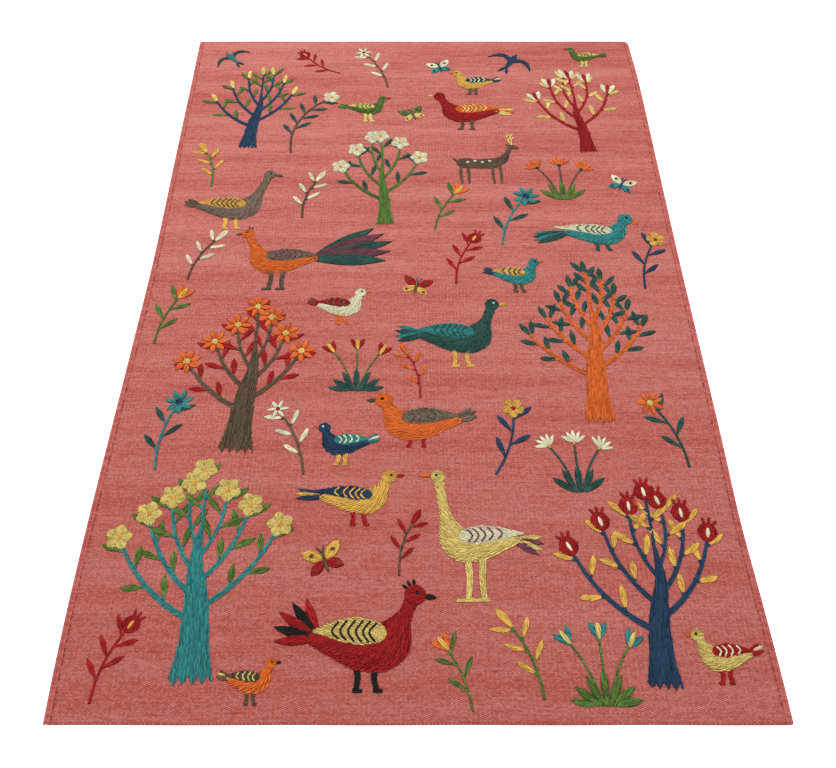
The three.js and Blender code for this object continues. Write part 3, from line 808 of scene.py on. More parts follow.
# Long, deep, reach, rise, head, beak, gaze, tail, lift, spread, feathers, leg, wing, crest and bars, and
# the yarns of body, wing, bars, tail, legs and beak
HEN = Bird(150, 88, 22, 40, 17, 22, -8, 74, 34, 19, 5, 34, 34, 3, 6,
           Y.RED, Y.STRAW, Y.BLACK, Y.RED, Y.BLACK, Y.BLACK)
CRANE = Bird(140, 74, 16, 104, 14, 26, 4, 58, -14, 13, 4, 76, 46, 0, 5,
             Y.STRAW, Y.CREAM, Y.PLUM, Y.STRAW, Y.STRAW, Y.ORANGE)
DUCK = Bird(150, 80, 14, 22, 19, 22, 0, 48, 26, 15, 3, 20, 36, 0, 5,
            Y.ORANGE, Y.STONE, Y.BARK, Y.STONE, Y.RED, Y.BARK)
PHEASANT = Bird(150, 78, 26, 52, 15, 18, -6, 190, 16, 9, 5, 52, 40, 2, 6,
                Y.ORANGE, Y.STONE, Y.PLUM, Y.FOREST, Y.BARK, Y.BARK)
DOVE = Bird(124, 60, 14, 24, 15, 18, 6, 60, 8, 10, 3, 26, 48, 0, 5,
            Y.GOLD, Y.NAVY, Y.GOLD, Y.NAVY, Y.RED, Y.RED)
FINCH = Bird(84, 48, 8, 20, 12, 14, 8, 40, 12, 12, 3, 30, 26, 0, 4,
             Y.LEAF, Y.STRAW, Y.LEAF, Y.LEAF, Y.STRAW, Y.RED)
GOOSE = Bird(150, 76, 26, 84, 15, 24, -10, 46, 20, 14, 3, 36, 38, 0, 6,
             Y.STONE, Y.GOLD, Y.BARK, Y.BARK, Y.GOLD, Y.BARK)
PARROT = Bird(140, 66, 16, 22, 18, 20, -30, 92, -12, 7, 4, 22, 62, 0, 5,
              Y.TEAL, Y.CREAM, Y.FOREST, Y.TEAL, Y.FOREST, Y.ORANGE)
FOWL = Bird(152, 84, 20, 56, 16, 20, 0, 66, 4, 13, 4, 40, 44, 0, 6,
            Y.FOREST, Y.TEAL, Y.FOREST, Y.TEAL, Y.GOLD, Y.GOLD)
PARTRIDGE = Bird(146, 76, 20, 36, 16, 20, 4, 54, 0, 14, 4, 34, 40, 0, 6,
                 Y.RED, Y.ORANGE, Y.STRAW, Y.ORANGE, Y.BARK, Y.GOLD)
CREAM_WREN = wren(Y.CREAM, Y.RED, Y.BARK, Y.RED, Y.ORANGE, Y.ORANGE)
TEAL_WREN = wren(Y.TEAL, Y.GOLD, Y.NAVY, Y.NAVY, Y.BARK, Y.ORANGE)
GOLD_WREN = wren(Y.GOLD, Y.FOREST, Y.CREAM, Y.FOREST, Y.BARK, Y.ORANGE)
STRAW_WREN = wren(Y.STRAW, Y.RED, Y.CREAM, Y.RED, Y.RED, Y.ORANGE)
EMBER_WREN = wren(Y.ORANGE, Y.BARK, Y.STRAW, Y.BARK, Y.BARK, Y.BLACK)
NAVY_WREN = wren(Y.NAVY, Y.TEAL, Y.CREAM, Y.TEAL, Y.GOLD, Y.ORANGE)

MOTIFS = [
    Placed("tree_teal", TEAL_TREE, -375, -825, size=1.06),
    Placed("tree_navy", NAVY_TREE, 405, -835, size=1.05),
    Placed("hen", HEN, -96, -768, size=1.12),
    Placed("crane", CRANE, 112, -590, mirrored=True),
    Placed("sprig_gold", GOLD_SPRAY, 205, -862, 4),
    Placed("moth_gold", Butterfly(84, Y.GOLD, Y.RED, Y.BARK), -165, -625, 20),
    Placed("dove", DOVE, -115, -505),
    Placed("sprig_blue", BLUE_SPRAY, 150, -455, -34),
    Placed("sprig_orange", ORANGE_SPRAY, 520, -440, 2),
    Placed("tree_bark", BARK_TREE, -350, -395, size=1.02),
    Placed("duck", DUCK, 10, -340, mirrored=True),
    Placed("tree_orange", ORANGE_TREE, 365, -330),
    Placed("fowl", FOWL, 85, -130),
    Placed("clump_red", RED_CLUMP, -122, -262, size=0.82),
    Placed("sprig_lime", LIME_SPRAY, -550, -150, mirrored=True),
    Placed("pheasant", PHEASANT, -300, 85, mirrored=True),
    Placed("sprig_plum", PLUM_SPRAY, 90, 15),
    Placed("tree_leaf", LEAF_TREE, -70, 200, size=1.05),
    Placed("parrot", PARROT, 420, 165),
    Placed("goose", GOOSE, -440, 250),
    Placed("sprig_cream", CREAM_SPRAY, -265, 215, 6),
    Placed("sprig_teal", TEAL_SPRAY, 200, 130, -6, 1.1),
    Placed("deer", Deer(140, Y.BARK, Y.STRAW, Y.CREAM), 165, 400),
    Placed("clump_orange", ORANGE_CLUMP, 356, 282),
    Placed("moth_cream", Butterfly(76, Y.CREAM, Y.TEAL, Y.NAVY), 500, 325, -25),
    Placed("tree_gold", GOLD_TREE, -420, 465),
    Placed("bough_white", LONG_SPRAY, -310, 440, 10),
    Placed("tree_plum", PLUM_TREE, 435, 448),
    Placed("partridge", PARTRIDGE, 145, 595, mirrored=True),
    Placed("finch", FINCH, -125, 610),
    Placed("sprig_white", WHITE_SPRAY, -70, 695, 8),
    Placed("fly_navy", Flyer(130, 26, Y.NAVY, Y.NAVY), 265, 805, -30),
    Placed("fly_teal", Flyer(112, 20, Y.TEAL, Y.FOREST), -500, 822, 40, 0.95),
    Placed("sprig_far", PLUM_SPRAY, -200, 755, 70, 0.9),
    Placed("finch_far", FINCH, 470, 828, size=0.85, mirrored=True),
    Placed("moth_far", Butterfly(76, Y.CREAM, Y.TEAL, Y.NAVY), 70, 780, 15),
    Placed("sprig_berry", PLUM_SPRAY, -532, -868, 0, 0.95),
    Placed("clump_teal", TEAL_CLUMP, 306, -866, size=0.85),
    Placed("sprig_star", WHITE_SPRAY, -215, -455, 6, 0.95),
    Placed("sprig_sea", TEAL_SPRAY, -498, -445, 8),
    Placed("clump_cream", CREAM_CLUMP, 306, -486, size=0.9),
    Placed("wren_cream", CREAM_WREN, -165, -48),
    Placed("moth_red", Butterfly(76, Y.RED, Y.GOLD, Y.BARK), 2, 6, -15),
    Placed("wren_teal", TEAL_WREN, 222, 40),
    Placed("sprig_snow", CREAM_SPRAY, -506, 26, -4),
    Placed("sprig_dusk", BLUE_SPRAY, 506, 0, 0, mirrored=True),
    Placed("sprig_moss", LIME_SPRAY, 46, 178, -8, mirrored=True),
    Placed("sprig_sun", GOLD_SPRAY, -492, 318, -4),
    Placed("moth_leaf", Butterfly(76, Y.LEAF, Y.STRAW, Y.BARK), -4, 585, 20),
    Placed("wren_gold", GOLD_WREN, 162, 716, mirrored=True),
    Placed("sprig_ember", LIME_SPRAY, 88, -880, 6, 0.82),
    Placed("wren_straw", STRAW_WREN, 514, -792, size=0.92, mirrored=True),
    Placed("wren_ember", EMBER_WREN, -278, -832, size=0.76),
    Placed("sprig_rose", ROSE_SPRAY, -32, -654, 4, 0.8, mirrored=True),
    Placed("wren_navy", NAVY_WREN, -138, -388, size=0.95, mirrored=True),
    Placed("sprig_coral", CORAL_SPRAY, 8, -284, -4, 0.85),
]


# Shader maths and materials


class Value:
    """A shader socket that arithmetic can be done on: each operator adds a Math node."""

    def __init__(self, graph: Graph, socket: bpy.types.NodeSocket) -> None:
        """Wraps one output socket of a graph."""
        self.graph = graph
        self.socket = socket

    def math(self, operation: str, *others: Value | float) -> Value:
        """This value and the others through one Math node."""
        return self.graph.node("ShaderNodeMath", {"operation": operation}, dict(enumerate((self, *others))))

    def __add__(self, other: Value | float) -> Value:
        """This plus other."""
        return self.math("ADD", other)

    def __radd__(self, other: float) -> Value:
        """Other plus this."""
        return self.math("ADD", other)

    def __sub__(self, other: Value | float) -> Value:
        """This less other."""
        return self.math("SUBTRACT", other)

    def __rsub__(self, other: float) -> Value:
        """Other less this."""
        return (self * -1.0).math("ADD", other)

    def __mul__(self, other: Value | float) -> Value:
        """This times other."""
        return self.math("MULTIPLY", other)

    def __rmul__(self, other: float) -> Value:
        """Other times this."""
        return self.math("MULTIPLY", other)

    def __truediv__(self, other: Value | float) -> Value:
        """This over other."""
        return self.math("DIVIDE", other)

    def __pow__(self, other: float) -> Value:
        """This to a power."""
        return self.math("POWER", other)

    def floor(self) -> Value:
        """The whole number at or below this."""
        return self.math("FLOOR")

    def fract(self) -> Value:
        """What is left over the floor."""
        return self.math("FRACT")

    def sine(self) -> Value:
        """The sine of this, in radians."""
        return self.math("SINE")

    def clamp(self) -> Value:
        """This held from 0 to 1."""
        return self.math("MAXIMUM", 0.0).math("MINIMUM", 1.0)

    def step(self, low: float, high: float) -> Value:
        """0 at low or under, 1 at high or over, and smooth between."""
        sockets = {"Value": self, "From Min": low, "From Max": high, "To Min": 0.0, "To Max": 1.0}
        return self.graph.node("ShaderNodeMapRange", {"interpolation_type": "SMOOTHSTEP"}, sockets)


class Graph:
    """A material's nodes, made through one method."""

    def __init__(self, name: str) -> None:
        """An empty node material of that name.

        Args:
            name: the material's name.
        """
        self.material = bpy.data.materials.new(name)
        self.material.use_nodes = True
        self.tree = self.material.node_tree
        self.tree.nodes.clear()

    def node(self, kind: str, settings: dict[str, Any] | None = None,
             sockets: dict[int | str, Any] | None = None, out: int | str = 0) -> Value:
        """Adds one node.

        Args:
            kind: the node's type.
            settings: its properties, set first.
            sockets: values or links for its inputs, by name or number.
            out: which output is wanted.

        Returns:
            That output.
        """
        made = self.tree.nodes.new(kind)
        for key, value in (settings or {}).items():
            setattr(made, key, value)
        for key, value in (sockets or {}).items():
            if isinstance(value, Value):
                self.tree.links.new(value.socket, made.inputs[key])
            else:
                made.inputs[key].default_value = value
        return Value(self, made.outputs[out])

    def object_mm(self) -> tuple[Value, Value, Value]:
        """The place on the object, in millimetres, as three values.

        Returns:
            x, y and z.
        """
        place = self.node("ShaderNodeTexCoord", out="Object")
        scaled = self.node("ShaderNodeVectorMath", {"operation": "SCALE"}, {0: place, "Scale": 1 / MM})
        parts = [self.node("ShaderNodeSeparateXYZ", sockets={0: scaled}, out=k) for k in range(3)]
        return parts[0], parts[1], parts[2]

    def vector(self, x: Value | float, y: Value | float, z: Value | float = 0.0) -> Value:
        """A vector of three values."""
        return self.node("ShaderNodeCombineXYZ", sockets={0: x, 1: y, 2: z})

    def noise(self, x: Value | float, y: Value | float, z: Value | float = 0.0, detail: float = 2.0) -> Value:
        """Smooth noise, about 0.5, at a place."""
        place = self.vector(x, y, z)
        return self.node("ShaderNodeTexNoise", sockets={"Vector": place, "Scale": 1.0, "Detail": detail})

    def attribute(self, name: str) -> Value:
        """A number kept on the mesh."""
        return self.node("ShaderNodeAttribute", {"attribute_name": name}, out="Fac")

    def mix(self, factor: Value | float, a: Value | Colour, b: Value | Colour, blend: str = "MIX") -> Value:
        """Colour a to colour b.

        Args:
            factor: 0 for a, 1 for b.
            a: the first colour, as a value or a link.
            b: the second.
            blend: how they mix.

        Returns:
            The mixed colour.
        """
        settings = {"data_type": "RGBA", "blend_type": blend}
        colours = {6: a if isinstance(a, Value) else (*a, 1.0), 7: b if isinstance(b, Value) else (*b, 1.0)}
        return self.node("ShaderNodeMix", settings, {0: factor, **colours}, out=2)

    def bump(self, height: Value, distance: float, strength: float) -> Value:
        """A normal from a height, of which 1 stands `distance` metres high."""
        sockets = {"Height": height, "Distance": distance, "Strength": strength}
        return self.node("ShaderNodeBump", sockets=sockets)

    def close(self, shader: Value) -> bpy.types.Material:
        """Joins a shader to the material's output.

        Args:
            shader: the shader.

        Returns:
            The material.
        """
        output = self.tree.nodes.new("ShaderNodeOutputMaterial")
        self.tree.links.new(shader.socket, output.inputs["Surface"])
        return self.material

    def finish(self, colour: Value, normal: Value, roughness: Value | float, sheen: float,
               tint: Colour) -> bpy.types.Material:
        """Closes the graph with a wool shader.

        Args:
            colour: the base colour.
            normal: the bumped normal.
            roughness: the roughness.
            sheen: how much fuzz the surface shows.
            tint: the fuzz's colour.

        Returns:
            The material.
        """
        shader = self.node("ShaderNodeBsdfPrincipled", sockets={
            "Base Color": colour, "Roughness": roughness, "Normal": normal, "Specular IOR Level": 0.16,
            "Sheen Weight": sheen, "Sheen Roughness": 0.5, "Sheen Tint": (*tint, 1.0),
        })
        return self.close(shader)


@dataclass(frozen=True)
class YarnFinish:
    """Plied wool yarn: strands that wind along each stitch, with each stitch's own tone."""

    yarn: Yarn
    ply_long: float = 5.0
    plies: int = 2
    middle: float = 0.42
    own_tone: float = 0.78
    # How much painted shade darkens each stitch's flanks.
    flank_shade: float = 0.62
    streaks: float = 0.7
    # How much painted shade darkens the grooves between plies.
    ply_groove_shade: float = 0.25
    fuzz_tone: float = 0.4
    relief: float = 0.00035

    def material(self) -> bpy.types.Material:
        """The yarn's colour by tone and fine streaks, with painted shade down each stitch's flanks and in the
        grooves between its plies; the height is the plies, a sine of turn and length.

        Returns:
            The material.
        """
        graph = Graph(f"wool_{self.yarn.name.lower()}")
        uv = graph.node("ShaderNodeUVMap", {"uv_map": "Strand"})
        around = graph.node("ShaderNodeSeparateXYZ", sockets={0: uv}, out=0)
        along = graph.node("ShaderNodeSeparateXYZ", sockets={0: uv}, out=1)
        tone = graph.attribute("tone")
        x, y, _ = graph.object_mm()
        wind = ((around * float(self.plies) + along * (1 / self.ply_long)) * math.tau).sine() * 0.5 + 0.5
        fuzz = graph.noise(x * 2.2, y * 2.2, detail=3.0)
        streak = graph.noise(around * 9.0, along * 0.12, tone * 40.0, detail=2.0)
        # Painted shade: each stitch is darker down its flanks, away from its crown, where strands lie side by
        # side.
        side = ((around - BEAD_CROWN).math("ABSOLUTE") * float(len(BEAD_ANGLES))).clamp()
        shade = self.middle + tone * self.own_tone - side ** 2.0 * self.flank_shade + (streak - 0.5) * self.streaks
        # Painted shade: the plies' winding darkens the grooves between plies, where the bump makes them low.
        shade = shade + (wind - 0.5) * self.ply_groove_shade + (fuzz - 0.5) * self.fuzz_tone
        colour = self.yarn.value
        lightness = sum(colour) / 3
        dark = tuple(c * (0.26 + 0.30 * lightness) for c in colour)
        light = tuple(min(c * (1.36 - 0.10 * lightness) + 0.010, 1.0) for c in colour)
        mixed = graph.mix(shade.clamp(), dark, light)
        normal = graph.bump(wind * 0.7 + fuzz * 0.5, self.relief, 0.7)
        return graph.finish(mixed, normal, 0.70 + (fuzz - 0.5) * 0.2, 0.05, light)


@dataclass(frozen=True)
class WeaveFinish:
    """Weft-faced plain weave: staggered beads of weft over the warps, in heathered, streaked, banded wool."""

    ground: Colour = (0.510, 0.105, 0.083)
    pale: Colour = (0.765, 0.292, 0.250)
    deep: Colour = (0.236, 0.018, 0.014)
    bead_wide: float = 0.38
    bead_tall: float = 0.52
    relief: float = 0.0006

    def beads(self, graph: Graph) -> tuple[Value, Value, Value]:
        """The weave's height, each bead's own random number, and 1 on the warps whose beads stand higher.

        A bead is 1 - (du / wide)^2 - (dv / tall)^2, with du and dv the distance from its middle in repeats
        of the float and of two passes. A second set of beads lies half a repeat further both ways, and the
        higher one shows.

        Args:
            graph: the material's graph.

        Returns:
            The height, the random number and the mask of the higher warps.
        """
        x, y, _ = graph.object_mm()
        drift = graph.noise(x * 0.006, y * 0.02, 4.0)
        wander = graph.noise(x * 0.05, y * 0.02, 9.0)
        across = (x + wander * 2.4) * (1 / FLOAT_REPEAT)
        along = (y + drift * 9.0) * (1 / PASS_REPEAT)
        tops, grains = [], []
        for move in (0.0, 0.5):
            u, v = across + move, along + move
            du, dv = (u.fract() - 0.5) * (1 / self.bead_wide), (v.fract() - 0.5) * (1 / self.bead_tall)
            tops.append((1 - du * du - dv * dv).clamp() * (1 - move * 0.12))
            place = graph.vector(u.floor(), v.floor(), move)
            noise = graph.node("ShaderNodeTexWhiteNoise", {"noise_dimensions": "3D"}, {"Vector": place})
            grains.append(noise)
        first = (tops[0] - tops[1]).step(-0.02, 0.02)
        grain = grains[1] + (grains[0] - grains[1]) * first
        return tops[0].math("MAXIMUM", tops[1]) ** 0.5, grain, first

    def material(self) -> bpy.types.Material:
        """Colour: bands and streaks along the weft, each bead's own tone, paler towards the far end (partly
        fading, partly painted sheen), a painted highlight on the higher warps' beads, painted shade between
        the beads, and painted shade in dashes along the groove by the inner cord.

        Returns:
            The material.
        """
        graph = Graph("weave_ground")
        x, y, _ = graph.object_mm()
        height, grain, first = self.beads(graph)
        band = graph.noise(x * 0.0012, y * 0.022, 1.0, detail=4.0)
        streak = graph.noise(x * 0.010, y * 0.30, 2.0, detail=2.0)
        slub = graph.noise(x * 0.035, y * 0.30, 3.0, detail=1.0).step(0.63, 0.76)
        heather = graph.noise(x * 0.9, y * 1.1, 5.0, detail=1.0)
        column = graph.noise(x * 0.004, y * 0.002, 12.0).step(0.3, 0.7)
        # Paler towards the far end: partly fading, partly painted sheen of cloth seen at a low angle.
        tone = 0.40 + (grain - 0.5) * 0.60 + (heather - 0.5) * 0.75 + y.step(-LENGTH / 2, 300.0) * 0.13
        # Painted highlight: the higher warps' beads are lighter, in patches, as light catches the raised
        # ribs.
        tone = tone + (first - 0.5) * (0.02 + column * 0.10)
        gain = 0.7 + y.step(-LENGTH / 2, LENGTH / 2) * 0.6
        tone = tone + ((band - 0.5) * 1.3 + (streak - 0.5) * 1.4) * gain
        colour = graph.mix(tone.clamp(), self.ground, self.pale)
        # Painted shade between the beads, where the height is low; the dark slubs are the yarn's own.
        colour = graph.mix((slub * 0.42 + ((1 - height) * 1.8 - 0.24).clamp()).clamp(), colour, self.deep)
        # Painted shade in dashes along the groove by the inner cord.
        dashes = graph.noise(x * 0.02, y * 0.14, 6.0, detail=3.0).step(0.44, 0.60)
        shaded_groove = graph.attribute("shaded_groove") * (0.22 + dashes * 0.75)
        colour = graph.mix(shaded_groove.clamp(), colour, tuple(c * 0.75 for c in self.deep))
        normal = graph.bump(height + (heather - 0.5) * 0.5, self.relief, 0.6)
        return graph.finish(colour, normal, 0.88 + (grain - 0.5) * 0.1, 0.10, (0.9, 0.5, 0.45))


@dataclass(frozen=True)
class CordFinish:
    """The weft wrapped round a cord, or a two-strand end row, with a dark strand where `dark` is above 0."""

    name: str
    wrap: float
    dark: float
    # How much painted shade darkens the edges of each wrap.
    rib: float = 0.28
    ground: Colour = (0.500, 0.098, 0.085)
    pale: Colour = (0.740, 0.230, 0.195)
    deep: Colour = (0.230, 0.026, 0.024)

    def material(self) -> bpy.types.Material:
        """Colour: by the strand that the Strand map's winding gives, with fine streaks along it, and painted
        shade at the edges of each wrap.

        Returns:
            The material.
        """
        graph = Graph(self.name)
        uv = graph.node("ShaderNodeUVMap", {"uv_map": "Strand"})
        around = graph.node("ShaderNodeSeparateXYZ", sockets={0: uv}, out=0)
        along = graph.node("ShaderNodeSeparateXYZ", sockets={0: uv}, out=1)
        x, y, _ = graph.object_mm()
        turn = along * (1 / self.wrap) + around
        rib = (turn.fract() - 0.5).math("ABSOLUTE") * 2.0
        own = graph.node("ShaderNodeTexWhiteNoise", {"noise_dimensions": "1D"}, {"W": turn.floor()})
        fibre = graph.noise(x * 1.4, y * 1.4, 7.0, detail=3.0)
        band = graph.noise(x * 0.004, y * 0.03, 8.0, detail=3.0)
        tone = 0.4 + (own - 0.5) * 0.8 + (fibre - 0.5) * 0.6 + (band - 0.5) * 0.6
        colour = graph.mix(tone.clamp(), self.ground, self.pale)
        strand = (turn * 0.5).fract().step(0.46, 0.54)
        # Painted shade at the edges of each wrap, where the bump makes it low; the dark strand is the yarn's
        # own.
        colour = graph.mix((rib ** 3.0 * self.rib + strand * self.dark).clamp(), colour, self.deep)
        normal = graph.bump(1 - rib * rib + (fibre - 0.5) * 0.5, 0.0004, 0.6)
        return graph.finish(colour, normal, 0.85 + (fibre - 0.5) * 0.1, 0.10, (0.9, 0.5, 0.45))


# Meshes from whole arrays


@dataclass
class MeshData:
    """A mesh as arrays: points in millimetres, faces of one size each, and what corners and points carry."""

    points: np.ndarray
    faces: list[np.ndarray]
    strand: list[np.ndarray]
    atlas: list[np.ndarray]
    materials: list[np.ndarray] = field(default_factory=list)
    values: dict[str, np.ndarray] = field(default_factory=dict)

    def build(self, name: str, materials: Sequence[bpy.types.Material]) -> bpy.types.Object:
        """Puts the arrays in a mesh and the mesh in an object at the origin.

        Args:
            name: the piece's name.
            materials: its materials, in the order that the faces number them.

        Returns:
            The object, linked to the scene.
        """
        mesh = bpy.data.meshes.new(name)
        corners = np.concatenate([f.ravel() for f in self.faces]).astype(np.int32)
        sizes = np.concatenate([np.full(len(f), f.shape[1]) for f in self.faces])
        mesh.vertices.add(len(self.points))
        mesh.vertices.foreach_set("co", (self.points * MM).astype(np.float32).ravel())
        mesh.loops.add(len(corners))
        mesh.loops.foreach_set("vertex_index", corners)
        mesh.polygons.add(len(sizes))
        mesh.polygons.foreach_set("loop_start", np.concatenate([[0], np.cumsum(sizes)[:-1]]).astype(np.int32))
        mesh.update(calc_edges=True)
        mesh.polygons.foreach_set("use_smooth", np.ones(len(sizes), bool))
        if self.materials:
            mesh.polygons.foreach_set("material_index", np.concatenate(self.materials).astype(np.int32))
        for label, maps in (("OFBake", self.atlas), ("Strand", self.strand)):
            layer = mesh.uv_layers.new(name=label)
            places = np.concatenate([m.reshape(-1, 2) for m in maps])
            layer.uv.foreach_set("vector", places.astype(np.float32).ravel())
        for label, numbers in self.values.items():
            mesh.attributes.new(label, "FLOAT", "POINT").data.foreach_set("value", numbers.astype(np.float32))
        for material in materials:
            mesh.materials.append(material)
        mesh.validate()
        piece = bpy.data.objects.new(name, mesh)
        bpy.context.scene.collection.objects.link(piece)
        return piece


def joined(parts: Sequence[MeshData]) -> MeshData:
    """Several meshes of like make as one: points one after another, and each face's numbers moved on.

    Args:
        parts: the meshes, each with the same kinds of arrays.

    Returns:
        The one mesh.
    """
    starts = np.concatenate([[0], np.cumsum([len(p.points) for p in parts])[:-1]])
    faces = [f + start for p, start in zip(parts, starts) for f in p.faces]
    strand = [m for p in parts for m in p.strand]
    atlas = [m for p in parts for m in p.atlas]
    materials = [m for p in parts for m in p.materials]
    values = {name: np.concatenate([p.values[name] for p in parts]) for name in parts[0].values}
    return MeshData(np.vstack([p.points for p in parts]), faces, strand, atlas, materials, values)


def grid_faces(rows: int, columns: int) -> np.ndarray:
    """The quads of a grid of points, each turned to face +Z where rows run +Y and columns +X.

    Args:
        rows: how many rows of points it has.
        columns: how many points a row has.

    Returns:
        A row of four point numbers for each quad.
    """
    k = (np.arange(rows - 1)[:, None] * columns + np.arange(columns - 1)).ravel()
    return np.stack([k, k + 1, k + columns + 1, k + columns], axis=1)


def around_rings(rings: int, sides: int) -> tuple[np.ndarray, np.ndarray]:
    """The points of all rings of a tube but the last, and the next point round for each.

    Args:
        rings: how many rings the tube has.
        sides: how many points a ring has.

    Returns:
        The numbers of the points, and of those next to them.
    """
    first = np.arange(rings - 1)[:, None] * sides
    return (first + np.arange(sides)).ravel(), (first + (np.arange(sides) + 1) % sides).ravel()


# Stitches


@dataclass
class Stitches:
    """Many stitches: where each starts, its middle and end, its half width, height, base, tone and yarn."""

    start: np.ndarray
    middle: np.ndarray
    end: np.ndarray
    half: np.ndarray
    high: np.ndarray
    base: np.ndarray
    tone: np.ndarray
    yarn: np.ndarray
    dive: float = 1.3
    dive_share: float = 0.24
    arch: float = 0.56

    @staticmethod
    def joined(many: Sequence[Stitches]) -> Stitches:
        """All the stitches of several lots."""
        names = ("start", "middle", "end", "half", "high", "base", "tone", "yarn")
        return Stitches(**{n: np.concatenate([getattr(s, n) for s in many]) for n in names})

    def mesh(self, atlas_fill: float = 0.9) -> MeshData:
        """Each stitch as a closed bead of yarn that dives into the cloth at both ends.

        It is a point, three rings and a point. A ring's place runs from start A to end B by a curve through
        the middle M, (1-t)(1-2t) A + 4t(1-t) M + t(2t-1) B. Its points are half width times cos and a share
        of the height times sin of the bead's angles. In the atlas each stitch has a cell of its own.

        Args:
            atlas_fill: how much of its cell a stitch fills.

        Returns:
            The mesh of all the stitches.
        """
        sides, rings, count = len(BEAD_ANGLES), 3, len(self.half)
        ahead = self.end - self.start
        long = np.maximum(np.linalg.norm(ahead, axis=1), 1e-6)
        near = np.minimum(self.dive / long, self.dive_share)
        t = np.stack([near * 0, near, near * 0 + 0.5, 1 - near, near * 0 + 1])
        swell = np.array([0.0, 0.82, 1.0, 0.82, 0.0])
        rise = np.array([-0.45, 0.36, 0.5, 0.36, -0.45])
        weights = np.stack([(1 - t) * (1 - 2 * t), 4 * t * (1 - t), t * (2 * t - 1)])
        ends = np.stack([self.start, self.middle, self.end])
        line = np.einsum("krn,knc->nrc", weights, ends)
        across = np.stack([-ahead[:, 1], ahead[:, 0]], axis=1) / long[:, None]
        angle = np.radians(BEAD_ANGLES)
        level = THICKNESS + self.base[:, None] + rise * self.high[:, None]
        points = np.zeros((count, rings * sides + 2, 3))
        for spot, r in ((0, 0), (rings * sides + 1, 4)):
            points[:, spot, :2] = line[:, r]
            points[:, spot, 2] = level[:, r]
        ring = slice(1, 1 + rings * sides)
        out = self.half[:, None, None] * swell[1:4, None] * -np.cos(angle)
        up = (self.high[:, None, None] * self.arch) * swell[1:4, None] * np.sin(angle)
        flat = line[:, 1:4, None, :] + out[..., None] * across[:, None, None, :]
        points[:, ring, :2] = flat.reshape(count, -1, 2)
        points[:, ring, 2] = (level[:, 1:4, None] + up).reshape(count, -1)

        size = rings * sides + 2
        offset = (np.arange(count) * size)[:, None, None]
        cells = math.ceil(math.sqrt(count))
        cell = np.stack([np.arange(count) % cells, np.arange(count) // cells], 1)[:, None, None, :]
        faces, strand, atlas, numbers = [], [], [], []
        for shape, uv in self.bead_faces(sides, rings):
            faces.append((shape[None] + offset).reshape(-1, shape.shape[1]))
            share = t.T[:, uv[..., 1].astype(int)]
            around = np.broadcast_to(uv[..., 0], share.shape)
            strand.append(np.stack([around, share * long[:, None, None]], -1))
            within = (np.stack([around, share], -1) - 0.5) * atlas_fill
            atlas.append((cell + 0.5 + within) / cells * [1, 1 - PADDING_STRIP])
            numbers.append(np.repeat(self.yarn, len(shape)))
        values = {"tone": np.repeat(self.tone, size)}
        return MeshData(points.reshape(-1, 3), faces, strand, atlas, numbers, values)

    @staticmethod
    def bead_faces(sides: int, rings: int) -> list[tuple[np.ndarray, np.ndarray]]:
        """One bead's faces, and each corner's share of the way round and number along the bead.

        Args:
            sides: how many points a ring has.
            rings: how many rings lie between its two points.

        Returns:
            The triangles at both ends with their corners, and the quads between the rings with theirs.
        """
        k = np.arange(sides)
        nxt = (k + 1) % sides
        first = np.stack([np.zeros(sides, int), 1 + nxt, 1 + k], axis=1)
        top = 1 + (rings - 1) * sides
        last = np.stack([np.full(sides, top + sides), top + k, top + nxt], axis=1)
        lower = 1 + np.arange(rings - 1)[:, None] * sides
        quads = [lower + k, lower + nxt, lower + sides + nxt, lower + sides + k]
        tube = np.stack(quads, axis=-1).reshape(-1, 4)
        u0, u1 = k / sides, (k + 1) / sides
        zero = np.zeros(sides)
        cap = np.stack([(u0 + u1) / 2, u1, u0], 1)
        uv_first = np.stack([cap, np.stack([zero, zero + 1, zero + 1], 1)], -1)
        uv_last = np.stack([cap[:, [0, 2, 1]], np.stack([zero + 4, zero + 3, zero + 3], 1)], -1)
        low, high = np.repeat([1, 2], sides), np.repeat([2, 3], sides)
        us, ue = np.tile(u0, rings - 1), np.tile(u1, rings - 1)
        uv_tube = np.stack([np.stack(c, 1) for c in ((us, low), (ue, low), (ue, high), (us, high))], 1)
        return [(np.vstack([first, last]), np.vstack([uv_first, uv_last])), (tube, uv_tube)]


